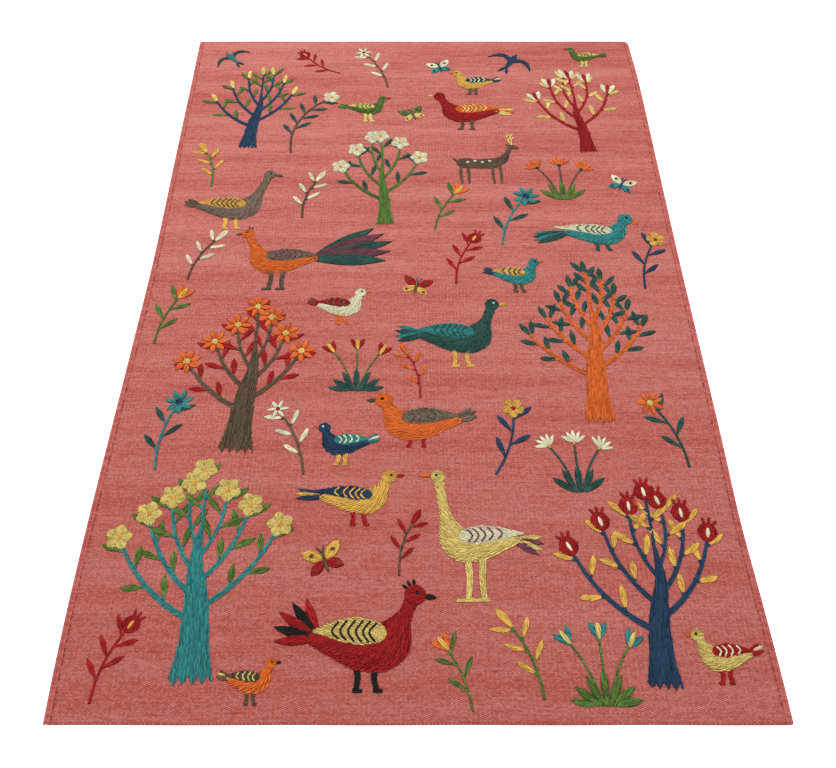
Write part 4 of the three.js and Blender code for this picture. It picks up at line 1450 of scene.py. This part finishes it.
@dataclass(frozen=True)
class Padding:
    """The laid threads under a patch's stitches, as one low closed mound that fills the gaps between them. It
    takes its yarn at the darkest tone, painted shade in those gaps.
    """

    high: float = 0.62
    inset: float = 0.94
    step: float = 3.6
    strip: float = PADDING_STRIP
    lift: float = 0.32

    def mound(self, ribbon: Ribbon, base: float, yarn: int, cell: tuple[float, float]) -> MeshData:
        """A six-sided tube along the ribbon: reach times the section's shares, and height over the cloth.

        Args:
            ribbon: the patch's spine and reach.
            base: how far above the cloth it starts.
            yarn: its yarn's number.
            cell: where its cell of the atlas's top strip starts and ends.

        Returns:
            The mound.
        """
        share = np.array([-1.0, -0.86, -0.4, 0.4, 0.86, 1.0])
        rise = np.array([-0.5, self.high * 0.75, self.high, self.high, self.high * 0.75, -0.5])
        count = max(5, int(ribbon.along[-1] / self.step))
        pick = np.unique(np.linspace(0, len(ribbon.along) - 1, count).astype(int))
        reach = np.where(share[None] < 0, ribbon.left[pick, None], ribbon.right[pick, None])
        aside = np.maximum(reach * self.inset, 0.2) * share
        flat = ribbon.place[pick, None] - ribbon.normal[pick, None] * aside[..., None]
        ends = np.ones(len(pick))
        ends[[0, -1]] = 0.3
        points = np.concatenate([flat, (THICKNESS + base + rise[None] * ends[:, None])[..., None]], -1)
        rows, sides = len(pick), len(share)
        k, nxt = around_rings(rows, sides)
        tube = np.stack([k, nxt, nxt + sides, k + sides], 1)
        caps = np.array([np.arange(sides)[::-1], (rows - 1) * sides + np.arange(sides)])
        u = np.tile(np.arange(sides), rows - 1) / sides
        row = np.repeat(np.arange(rows - 1), sides)
        quads = ((u, row), (u + 1 / sides, row), (u + 1 / sides, row + 1), (u, row + 1))
        uv = np.stack([np.stack(c, 1) for c in quads], 1)
        turn = math.tau * np.arange(sides) / sides
        corner = np.stack([np.cos(turn), np.sin(turn)], 1)
        low, wide = cell[0], cell[1] - cell[0]
        atlas = np.stack([
            low + wide * (0.05 + 0.9 * uv[..., 0]),
            1 - self.strip + self.strip * (0.05 + 0.9 * uv[..., 1] / (rows - 1)),
        ], -1)
        cap_atlas = np.array([low + wide / 2, 1 - self.strip / 2]) + np.stack([corner, corner]) * wide * 0.05
        strand = np.stack([uv[..., 0], ribbon.along[pick][uv[..., 1].astype(int)]], -1)
        numbers = [np.full(len(tube), yarn), np.full(2, yarn)]
        # Painted shade: the mound is its yarn at the darkest tone, so the gaps between stitches look shaded.
        values = {"tone": np.full(rows * sides, 0.02)}
        strands = [strand, np.stack([corner, corner])]
        return MeshData(points.reshape(-1, 3), [tube, caps], strands, [atlas, cap_atlas], numbers, values)

    def mounds(self, patches: Patches, yarns: list[Yarn]) -> list[MeshData]:
        """The mound of every patch that needs one, each a hair higher than the one that it covers.

        Args:
            patches: the motif's patches, the lowest first.
            yarns: the yarns that the motif uses, whose order numbers them.

        Returns:
            The mounds.
        """
        needy = [
            (p, layer) for p, layer in zip(patches, layers(patches)) if not (p.on_top and p.work is Work.LINE)
        ]
        cells = np.linspace(0, 1, len(needy) + 1)
        return [
            self.mound(p.ribbon(), (0.9 if p.on_top else 0.0) + 0.01 * (k % 10) + self.lift * min(layer, 2),
                       yarns.index(p.yarn), (cells[k], cells[k + 1]))
            for k, (p, layer) in enumerate(needy)
        ]


@dataclass
class Needle:
    """Fills patches with stitches, in a hand's uneven way."""

    pitch: float = 2.3
    high: float = 1.5
    slack: float = 0.9
    seed: int = 7
    leaf_stitch: float = 17.0
    shortest: float = 2.2
    stem_strand: float = 2.9
    stem_stitch: float = 6.4
    stem_overlap: float = 1.6
    rng: np.random.Generator = field(init=False)

    def __post_init__(self) -> None:
        """Starts the seeded unevenness."""
        self.rng = np.random.default_rng(self.seed)

    def work(self, patches: Patches, yarns: list[Yarn]) -> Stitches:
        """The stitches of all of a motif's patches: an earlier patch stops where a later one covers it.

        Args:
            patches: the motif's patches, the lowest first.
            yarns: the yarns that the motif uses, whose order numbers them.

        Returns:
            Its stitches.
        """
        ribbons = [p.ribbon() for p in patches]
        outlines = [r.outline() for r in ribbons]
        lots = []
        for k, (patch, ribbon, layer) in enumerate(zip(patches, ribbons, layers(patches))):
            over = [o for o, later in zip(outlines[k + 1:], patches[k + 1:]) if not later.on_top]
            ways = self.stem(ribbon, over) if patch.work is Work.LINE else self.rows(ribbon, over, patch)
            if ways is not None:
                lots.append(self.dressed(ways, patch, yarns.index(patch.yarn), Padding.lift * min(layer, 2)))
        return Stitches.joined(lots)

    def dressed(self, ways: np.ndarray, patch: Patch, yarn: int, lift: float) -> Stitches:
        """Gives stitches their height, tone and yarn.

        Args:
            ways: rows of start, middle, end and half width.
            patch: the patch that they fill.
            yarn: its yarn's number.
            lift: how far above the cloth they lie.

        Returns:
            The stitches.
        """
        count = len(ways)
        high = self.high * (1 + 0.10 * self.rng.standard_normal(count)) * (0.62 if patch.on_top else 1.0)
        base = np.full(count, lift + (0.62 * self.high if patch.on_top else 0.0))
        shared = self.rng.normal(0, 0.10)
        tone = np.clip(0.5 + shared + self.rng.normal(0, 0.26, count), 0, 1)
        start, middle, end, half = ways[:, 0:2], ways[:, 2:4], ways[:, 4:6], ways[:, 6]
        return Stitches(start, middle, end, half, high, base, tone, np.full(count, yarn))

    def rows(self, ribbon: Ribbon, over: list[np.ndarray], patch: Patch) -> np.ndarray | None:
        """Columns side by side, each cut into stitches by rows that a hand keeps only roughly.

        In rows, column j keeps one distance from the spine, (j + 1/2) pitch less the right reach. In a leaf
        it keeps one share of the reach, so the columns draw together at both ends.

        Args:
            ribbon: the patch's spine and reach.
            over: the outlines of later patches that cover it.
            patch: the patch.

        Returns:
            Rows of start, middle, end and half width, or None where nothing shows.
        """
        left, right = ribbon.left.max(), ribbon.right.max()
        count = max(1, round((left + right) / self.pitch))
        out = []
        ribbon = self.frayed(ribbon, patch.ragged)
        for j in range(count):
            share = (j + 0.5) / count
            side = 2 * share - 1
            if patch.work is Work.LEAF:
                off = np.where(share > 0.5, side * ribbon.left, side * ribbon.right) * 0.86
                off = off * self.rng.uniform(0.9, 1.08)
                kept = ribbon.along <= ribbon.along[-1] * (1 - 0.10 * abs(side) - self.rng.uniform(0, 0.09))
            else:
                off = np.full(len(ribbon.along), share * (left + right) - right)
                kept = (off <= ribbon.left - 0.3 * self.pitch) & (off >= -ribbon.right + 0.3 * self.pitch)
                tooth = abs((share * 4.6) % 1 - 0.5) * 1.5 + self.rng.uniform(0, 0.25)
                kept &= ribbon.along >= patch.ragged * (1 - min(tooth, 1.0))
            place = ribbon.place + ribbon.normal * off[:, None]
            for outline in over:
                kept &= ~inside(place, outline)
            edges = np.flatnonzero(np.diff(np.concatenate([[0], kept.astype(int), [0]])))
            arc = np.concatenate([[0], np.cumsum(np.linalg.norm(np.diff(place, axis=0), axis=1))])
            slant = patch.slant * (1 - 0.6 * side ** 2)
            for first, stop in zip(edges[::2], edges[1::2]):
                out += self.cut(place, arc, first, stop - 1, patch, slant)
        return np.array(out) if out else None

    @staticmethod
    def frayed(ribbon: Ribbon, more: float) -> Ribbon:
        """The ribbon, longer before its start, on the line on which it sets out.

        Args:
            ribbon: the ribbon.
            more: how much longer.

        Returns:
            The longer ribbon, or the same one where `more` is 0.
        """
        if not more:
            return ribbon
        ahead = np.array([ribbon.normal[0, 1], -ribbon.normal[0, 0]])
        back = np.linspace(more, 0, max(4, int(more / 1.6)), endpoint=False)
        return Ribbon(
            np.vstack([ribbon.place[0] - back[:, None] * ahead, ribbon.place]),
            np.vstack([np.repeat(ribbon.normal[:1], len(back), axis=0), ribbon.normal]),
            np.concatenate([more - back, ribbon.along + more]),
            np.concatenate([np.full(len(back), ribbon.left[0]), ribbon.left]),
            np.concatenate([np.full(len(back), ribbon.right[0]), ribbon.right]),
        )

    def cut(self, place: np.ndarray, along: np.ndarray, first: int, last: int, patch: Patch,
            slant: float) -> list[list[float]]:
        """One column's run as stitches end to end.

        Args:
            place: the column's places.
            along: the distance along it at each place.
            first: the number of the run's first place.
            last: the number of its last.
            patch: the patch that it fills.
            slant: how far each stitch is turned, in degrees.

        Returns:
            Rows of start, middle, end and half width.
        """
        begin, stop = along[first], along[last]
        long = stop - begin
        if long < self.shortest:
            return []
        row = self.leaf_stitch if patch.work is Work.LEAF else patch.stitch
        count = max(1, round(long / row + self.rng.uniform(-0.35, 0.35)))
        cuts = begin + long * np.arange(count + 1) / count
        cuts[1:-1] += self.rng.uniform(-0.42, 0.42, count - 1) * long / count
        cuts[0] += self.rng.uniform(-0.5, 0.7)
        cuts[-1] += self.rng.uniform(-0.7, 0.5)
        a, b = cuts[:-1] - self.slack, cuts[1:] + self.slack
        three = [np.stack([np.interp(s, along, place[:, c]) for c in (0, 1)], 1) for s in (a, (a + b) / 2, b)]
        three = [three[1] + (p - three[1]) @ self.turned(slant) for p in three]
        sway = self.rng.normal(0, 0.16, (3, count, 2))
        half = self.pitch * 0.5 * self.rng.uniform(0.92, 1.16, (count, 1))
        return np.hstack([*(p + w for p, w in zip(three, sway)), half]).tolist()

    @staticmethod
    def turned(degrees: float) -> np.ndarray:
        """The matrix that turns rows of x, y by `degrees`, to the left where that is above 0."""
        angle = math.radians(degrees)
        return np.array([[math.cos(angle), math.sin(angle)], [-math.sin(angle), math.cos(angle)]])

    def stem(self, ribbon: Ribbon, over: list[np.ndarray]) -> np.ndarray | None:
        """Slanted stitches that overlap along a line, as many abreast as its width needs.

        Args:
            ribbon: the line's spine and reach.
            over: the outlines of later patches that cover it.

        Returns:
            Rows of start, middle, end and half width, or None where nothing shows.
        """
        wide = (ribbon.left + ribbon.right).mean()
        abreast = max(1, round(wide / self.stem_strand))
        step = self.stem_stitch
        count = max(1, round(ribbon.along[-1] / step))
        half = wide / abreast * 0.56
        out = []
        for lane in range(abreast):
            begin = (np.arange(count) + 0.5 * (lane % 2) * (count > 1)) * ribbon.along[-1] / count
            a = np.clip(begin - self.stem_overlap, -1, ribbon.along[-1])
            b = np.clip(begin + step + self.stem_overlap, 0, ribbon.along[-1] + 0.5)
            share = (lane + 0.5) / abreast * 2 - 1
            slant = 0.42 * half
            three = []
            for s, lean in ((a, -slant), ((a + b) / 2, 0.0), (b, slant)):
                off = share * np.interp(s, ribbon.along, (ribbon.left + ribbon.right) / 2) + lean
                columns = [np.interp(s, ribbon.along, ribbon.place[:, c]) for c in (0, 1)]
                normals = [np.interp(s, ribbon.along, ribbon.normal[:, c]) for c in (0, 1)]
                three.append(np.stack([p + n * off for p, n in zip(columns, normals)], 1))
            shown = np.ones(count, bool)
            for outline in over:
                shown &= ~inside(three[1], outline)
            ways = np.hstack([*three, np.full((count, 1), half)])
            keep = shown & (np.linalg.norm(three[2] - three[0], axis=1) > 1.5)
            out.append(ways[keep])
        joined = np.vstack(out)
        return joined if len(joined) else None


@dataclass
class Embroidery:
    """All the worked motifs, each a piece that stands for its CAD node."""

    needle: Needle = field(default_factory=Needle)
    materials: dict[Yarn, bpy.types.Material] = field(default_factory=dict)

    def build(self) -> list[bpy.types.Object]:
        """Works every motif and dresses it in its yarns."""
        self.materials = {yarn: YarnFinish(yarn).material() for yarn in Yarn}
        return [self.motif(placed) for placed in MOTIFS]

    def motif(self, placed: Placed) -> bpy.types.Object:
        """One motif's stitches as one piece.

        Args:
            placed: the motif and its place.

        Returns:
            The piece.
        """
        patches = placed.patches()
        yarns = list(dict.fromkeys(p.yarn for p in patches))
        stitches = self.needle.work(patches, yarns)
        data = joined([stitches.mesh(), *Padding().mounds(patches, yarns)])
        piece = data.build(f"{placed.name}_stitches", [self.materials[y] for y in yarns])
        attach(piece, "root")
        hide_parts(placed.name)
        log.info("%s: %d stitches, %d faces", piece.name, len(stitches.half), len(piece.data.polygons))
        return piece


# The cloth


@dataclass(frozen=True)
class Outline:
    """The rug's uneven outline: each long edge's bow outward by place, and its four corner radii."""

    bow: tuple[tuple[float, float, float], ...] = (
        (-900, 0, 0), (-820, 2.5, -0.5), (-700, 4, -3), (-550, 3, -7), (-380, 0, -5),
        (-180, -4, -4), (90, -8, -3), (400, -5, 0.5), (730, -2, 4), (900, 0, 0),
    )
    near: tuple[float, float] = (2.0, 5.0)
    far: tuple[float, float] = (8.0, 15.0)

    def edge(self, side: int, y: np.ndarray, inward: float = 0.0) -> np.ndarray:
        """How far from the middle line a line parallel to one long edge runs, at y.

        Half the width plus the bow, less `inward`, less the arc r - sqrt(r^2 - d^2) where a corner is round.

        Args:
            side: -1 for the left edge, 1 for the right.
            y: places along the rug.
            inward: the line's distance in from the edge.

        Returns:
            Distances from the middle line.
        """
        table = np.array(self.bow)
        which = 1 if side < 0 else 2
        segment = np.clip(np.searchsorted(table[:, 0], y) - 1, 0, len(table) - 2)
        part = (y - table[segment, 0]) / (table[segment + 1, 0] - table[segment, 0])
        bow = spline(table[:, which:which + 1], (segment + part) / (len(table) - 1))[:, 0]
        reach = WIDTH / 2 + bow - inward
        for sign, corner in ((-1, self.near), (1, self.far)):
            r = max(corner[0 if side < 0 else 1] - inward, 0.0)
            past = np.clip(sign * y - (LENGTH / 2 - inward - r), 0, r)
            reach = reach - (r - np.sqrt(r * r - past * past))
        return reach


@dataclass(frozen=True)
class ClothSheet:
    """The closed woven sheet between the cords, with slight troughs, drawn down under cords and end rows."""

    outline: Outline = Outline()
    columns: int = 96
    rows: int = 150
    tuck: float = 2.2
    lip: float = 1.6
    trough: float = 0.55
    plain_from: float = 24.0
    floor: float = 0.15

    def level(self, x: np.ndarray, y: np.ndarray, inward: np.ndarray, endward: np.ndarray) -> np.ndarray:
        """The top's height: the thickness with long low swells, falling to the lip within a cord's width.

        Args:
            x: places across the rug.
            y: places along it.
            inward: the distance in from the nearer long edge.
            endward: the distance in from the nearer end.

        Returns:
            The heights.
        """
        swell = np.sin(x / 97 + 1.3 * np.sin(y / 240)) * np.sin(y / 151 + 0.8 * np.sin(x / 180))
        ripple = np.sin(y / 33 + 2 * np.sin(x / 410)) * np.exp(-inward / 60)
        shaded_groove = np.exp(-(((inward - SELVEDGE_WIDTH - 0.8) / 1.6) ** 2))
        top = THICKNESS + self.trough * 0.5 * (swell - 1) + 0.18 * ripple - 0.30 * shaded_groove
        fall = np.clip(np.minimum((inward - self.tuck) / 7.0, (endward - self.tuck) / 2.4), 0, 1)
        return self.lip + (top - self.lip) * fall

    def build(self) -> bpy.types.Object:
        """The sheet's top and underside as two grids and the wall between them.

        Returns:
            The piece.
        """
        fine = np.array([0.0, 2.0, 4.5, 7.0, 8.6, 10.0, 11.2, 12.6, 15.0])
        inner = np.linspace(self.plain_from, WIDTH - self.plain_from, self.columns - 2 * len(fine))
        u = np.concatenate([fine, inner, WIDTH - fine[::-1]])
        ends = np.array([0.0, 1.2, 2.4, 4.0, 8.0, 14.0])
        inner = np.linspace(self.plain_from, LENGTH - self.plain_from, self.rows - 2 * len(ends))
        v = np.concatenate([ends, inner, LENGTH - ends[::-1]])
        across, along = np.meshgrid(u, v)
        y = (along - LENGTH / 2) * (1 - 2 * self.tuck / LENGTH)
        flat = y.ravel()
        left = -self.outline.edge(-1, flat, self.tuck).reshape(y.shape)
        right = self.outline.edge(1, flat, self.tuck).reshape(y.shape)
        x = left + (right - left) * across / WIDTH
        inward = np.minimum(x - left, right - x) + self.tuck
        endward = LENGTH / 2 - np.abs(y)
        top = self.level(x, y, inward, endward)
        rows, columns = x.shape
        upper = np.stack([x, y, top], -1).reshape(-1, 3)
        lower = upper * [1, 1, 0] + [0, 0, self.floor]
        faces_up = grid_faces(rows, columns)
        count = rows * columns
        faces_down = faces_up[:, ::-1] + count
        rim = np.concatenate([
            np.arange(columns), np.arange(1, rows) * columns + columns - 1,
            (rows - 1) * columns + np.arange(columns - 2, -1, -1), np.arange(rows - 2, 0, -1) * columns,
        ])
        onward = np.roll(rim, -1)
        wall = np.stack([rim, rim + count, onward + count, onward], 1)[:, ::-1]
        plane = np.stack([(x / WIDTH + 0.5), (y / LENGTH + 0.5)], -1).reshape(-1, 2)
        above = plane * [0.64, 0.98] + [0.01, 0.01]
        below = plane * [0.30, 0.98] + [0.68, 0.01]
        faces = [faces_up, faces_down, wall]
        maps = [above[faces_up], below[faces_down - count], above[wall % count]]
        strand = [plane[faces_up] * 1000, plane[faces_down - count] * 1000, plane[wall % count] * 1000]
        # Where the cloth dips by the inner cord; the weave paints shade there, in dashes.
        shaded_groove = np.exp(-(((inward - SELVEDGE_WIDTH - 0.6) / 1.7) ** 2)).ravel()
        values = {"shaded_groove": np.concatenate([shaded_groove, shaded_groove * 0])}
        data = MeshData(np.vstack([upper, lower]), faces, strand, maps, values=values)
        piece = data.build("cloth_weave", [WeaveFinish().material()])
        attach(piece, "root")
        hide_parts("cloth")
        log.info("%s: %d faces", piece.name, len(piece.data.polygons))
        return piece


@dataclass(frozen=True)
class Cord:
    """A ribbed round cord along a path: an ellipse about each point, swollen once a wrap, that winds on."""

    wide: float
    high: float
    wrap: float
    swell: float
    starts: int = 1
    sides: int = 7
    steps_per_wrap: int = 4

    def data(self, path: np.ndarray, level: float, strip: tuple[float, float]) -> MeshData:
        """The cord's closed tube.

        Args:
            path: points in the plane that it follows, in millimetres.
            level: the height of its middle.
            strip: the atlas's share of width that it may use, from and to.

        Returns:
            Its mesh.
        """
        length = np.concatenate([[0], np.cumsum(np.linalg.norm(np.diff(path, axis=0), axis=1))])
        count = int(length[-1] / self.wrap * self.steps_per_wrap)
        s = np.linspace(0, length[-1], count)
        place = np.stack([np.interp(s, length, path[:, c]) for c in (0, 1)], 1)
        ahead = np.gradient(place, axis=0)
        ahead /= np.linalg.norm(ahead, axis=1)[:, None]
        across = np.stack([ahead[:, 1], -ahead[:, 0]], 1)
        turn = np.arange(self.sides) / self.sides
        winding = s[:, None] / self.wrap + self.starts * turn
        fat = 1 + self.swell * (np.abs(np.sin(np.pi * winding)) - 0.6)
        tucked = np.clip(np.minimum(s, s[-1] - s) / 1.2, 0.55, 1)[:, None]
        out = self.wide * fat * np.cos(math.tau * turn) * tucked
        up = self.high * fat * np.sin(math.tau * turn) * tucked
        points = np.zeros((count, self.sides, 3))
        points[..., :2] = place[:, None] + out[..., None] * across[:, None]
        points[..., 2] = level + up
        k, nxt = around_rings(count, self.sides)
        tube = np.stack([k, k + self.sides, nxt + self.sides, nxt], 1)
        u = np.tile(np.arange(self.sides), count - 1)
        row = np.repeat(np.arange(count - 1), self.sides)
        quads = ((u, row), (u, row + 1), (u + 1, row + 1), (u + 1, row))
        uv = np.stack([np.stack(c, 1) for c in quads], 1).astype(float)
        around = uv[..., 0] / self.sides
        strand = np.stack([around * self.starts, s[uv[..., 1].astype(int)]], -1)
        low, high = strip
        atlas_x = low + (high - low) * (0.04 + 0.92 * around)
        atlas = np.stack([atlas_x, 0.01 + 0.98 * uv[..., 1] / (count - 1)], -1)
        caps = np.array([np.arange(self.sides), (count - 1) * self.sides + np.arange(self.sides)[::-1]])
        cap_uv = np.tile([[(low + high) / 2, 0.005]], (2, self.sides, 1)) + 0.003 * np.stack(
            [np.cos(math.tau * turn), np.sin(math.tau * turn)], 1)
        return MeshData(points.reshape(-1, 3), [tube, caps], [strand, cap_uv], [atlas, cap_uv])


@dataclass(frozen=True)
class Edging:
    """The two wrapped selvedge cords down each long side, and the twined row across each end."""

    outline: Outline = Outline()
    selvedge: Cord = Cord(wide=2.8, high=1.05, wrap=PASS_REPEAT, swell=0.025)
    twine: Cord = Cord(wide=1.5, high=1.15, wrap=3.1, swell=0.10, starts=1, sides=8, steps_per_wrap=5)
    inward: tuple[float, float] = (2.8, 8.3)
    near_gap: float = 0.5
    end_gap: float = 8.0
    end_inward: float = 1.55
    cord_level: float = 2.05
    twine_level: float = 1.7

    def selvedges(self) -> bpy.types.Object:
        """Four ribbed cords, two to a side, as one piece.

        Returns:
            The piece.
        """
        parts = []
        for lane, (side, inward) in enumerate((s, i) for s in (-1, 1) for i in self.inward):
            y = np.linspace(-LENGTH / 2 + self.near_gap, LENGTH / 2 - inward, 1500)
            path = np.stack([side * self.outline.edge(side, y, inward), y], 1)
            parts.append(self.selvedge.data(path, self.cord_level, (lane / 4, (lane + 1) / 4)))
        finish = CordFinish("selvedge_wrap", PASS_REPEAT, 0.0)
        piece = joined(parts).build("selvedge_cords", [finish.material()])
        return self.dressed(piece)

    def end_rows(self) -> bpy.types.Object:
        """A row of two-strand twining across each end, as one piece.

        Returns:
            The piece.
        """
        parts = []
        for lane, sign in enumerate((-1, 1)):
            y = sign * (LENGTH / 2 - self.end_inward)
            corner = self.outline.near if sign < 0 else self.outline.far
            left, right = (max(radius, self.end_gap) for radius in corner)
            x = np.linspace(-WIDTH / 2 + left, WIDTH / 2 - right, 400)
            wobble = 0.3 * np.sin(x / 47 + lane)
            path = np.stack([x, y - sign * (0.3 + wobble)], 1)
            parts.append(self.twine.data(path, self.twine_level, (lane / 2, (lane + 1) / 2)))
        finish = CordFinish("end_twine", self.twine.wrap, 0.65)
        piece = joined(parts).build("end_twining", [finish.material()])
        return self.dressed(piece)

    def dressed(self, piece: bpy.types.Object) -> bpy.types.Object:
        """Rides on the rug.

        Args:
            piece: the piece.

        Returns:
            The same piece.
        """
        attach(piece, "root")
        log.info("%s: %d faces", piece.name, len(piece.data.polygons))
        return piece


# The set


@dataclass(frozen=True)
class Studio:
    """The camera where the photograph's was, a pale floor, and soft light from above."""

    place: tuple[float, float, float] = (-0.0165, -1.1508, 1.3835)
    pitch_down: float = 56.872
    lens: float = 34.92
    shift: float = 0.012

    def camera(self) -> None:
        """A camera that looks along +Y and down, moved sideways on its film by a little."""
        data = bpy.data.cameras.new("camera")
        data.sensor_fit = "HORIZONTAL"
        data.sensor_width = 36.0
        data.lens = self.lens
        data.shift_x = self.shift
        camera = bpy.data.objects.new("camera", data)
        camera.location = self.place
        camera.rotation_euler = (math.radians(90 - self.pitch_down), 0, 0)
        bpy.context.scene.collection.objects.link(camera)
        bpy.context.scene.camera = camera

    def floor(self) -> None:
        """A wide near-white floor that gives light of its own, as in a cut-out photograph."""
        graph = Graph("floor_paper")
        shader = graph.node("ShaderNodeBsdfPrincipled", sockets={
            "Base Color": (0.93, 0.93, 0.93, 1), "Roughness": 0.95, "Specular IOR Level": 0.0,
            "Emission Color": (1, 1, 1, 1), "Emission Strength": 0.95,
        })
        graph.close(shader)
        size, drop = 30.0, -0.0006
        mesh = bpy.data.meshes.new("floor")
        corners = [(-size, -size, drop), (size, -size, drop), (size, size, drop), (-size, size, drop)]
        mesh.from_pydata(corners, [], [(0, 1, 2, 3)])
        mesh.materials.append(graph.material)
        floor = bpy.data.objects.new("floor", mesh)
        bpy.context.scene.collection.objects.link(floor)

    def area(self, name: str, place: tuple[float, float, float], aim: tuple[float, float, float], size: float,
             power: float) -> None:
        """A square soft light.

        Args:
            name: its name.
            place: where it is, in metres.
            aim: the point that it faces.
            size: the length of its side.
            power: its power in watts.
        """
        data = bpy.data.lights.new(name, "AREA")
        data.shape = "SQUARE"
        data.size = size
        data.energy = power
        light = bpy.data.objects.new(name, data)
        light.location = place
        away = np.array(place) - np.array(aim)
        flat = math.hypot(away[0], away[1])
        light.rotation_euler = (math.atan2(flat, away[2]), 0, math.atan2(away[0], -away[1]) if flat else 0)
        bpy.context.scene.collection.objects.link(light)

    def lights(self) -> None:
        """A large top light, a lower key from the far left, and an even white sky."""
        self.area("top_light", place=(0.62, 1.35, 3.4), aim=(0.0, 0.4, 0.0), size=3.2, power=64.5)
        self.area("key_light", place=(-2.6, 1.9, 2.3), aim=(0.0, 0.1, 0.0), size=1.4, power=39)
        world = bpy.data.worlds.new("sky")
        world.use_nodes = True
        background = world.node_tree.nodes["Background"]
        background.inputs["Color"].default_value = (1, 1, 1, 1)
        background.inputs["Strength"].default_value = 0.55
        bpy.context.scene.world = world

    def build(self) -> None:
        """Sets up the camera, the floor and the lights."""
        bpy.context.scene.view_settings.view_transform = "Standard"
        self.camera()
        self.floor()
        self.lights()


def main() -> None:
    """Builds the set, the cloth, its edging and the worked motifs."""
    logging.basicConfig(level=logging.INFO, format="%(name)s: %(message)s")
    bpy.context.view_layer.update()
    Studio().build()
    cloth = ClothSheet().build()
    edging = Edging()
    trims = [edging.selvedges(), edging.end_rows()]
    work = Embroidery().build()
    total = sum(len(p.vertices) - 2 for o in [cloth, *trims, *work] for p in o.data.polygons)
    log.info("%d triangles in all", total)


if __name__ == "__main__":
    main()
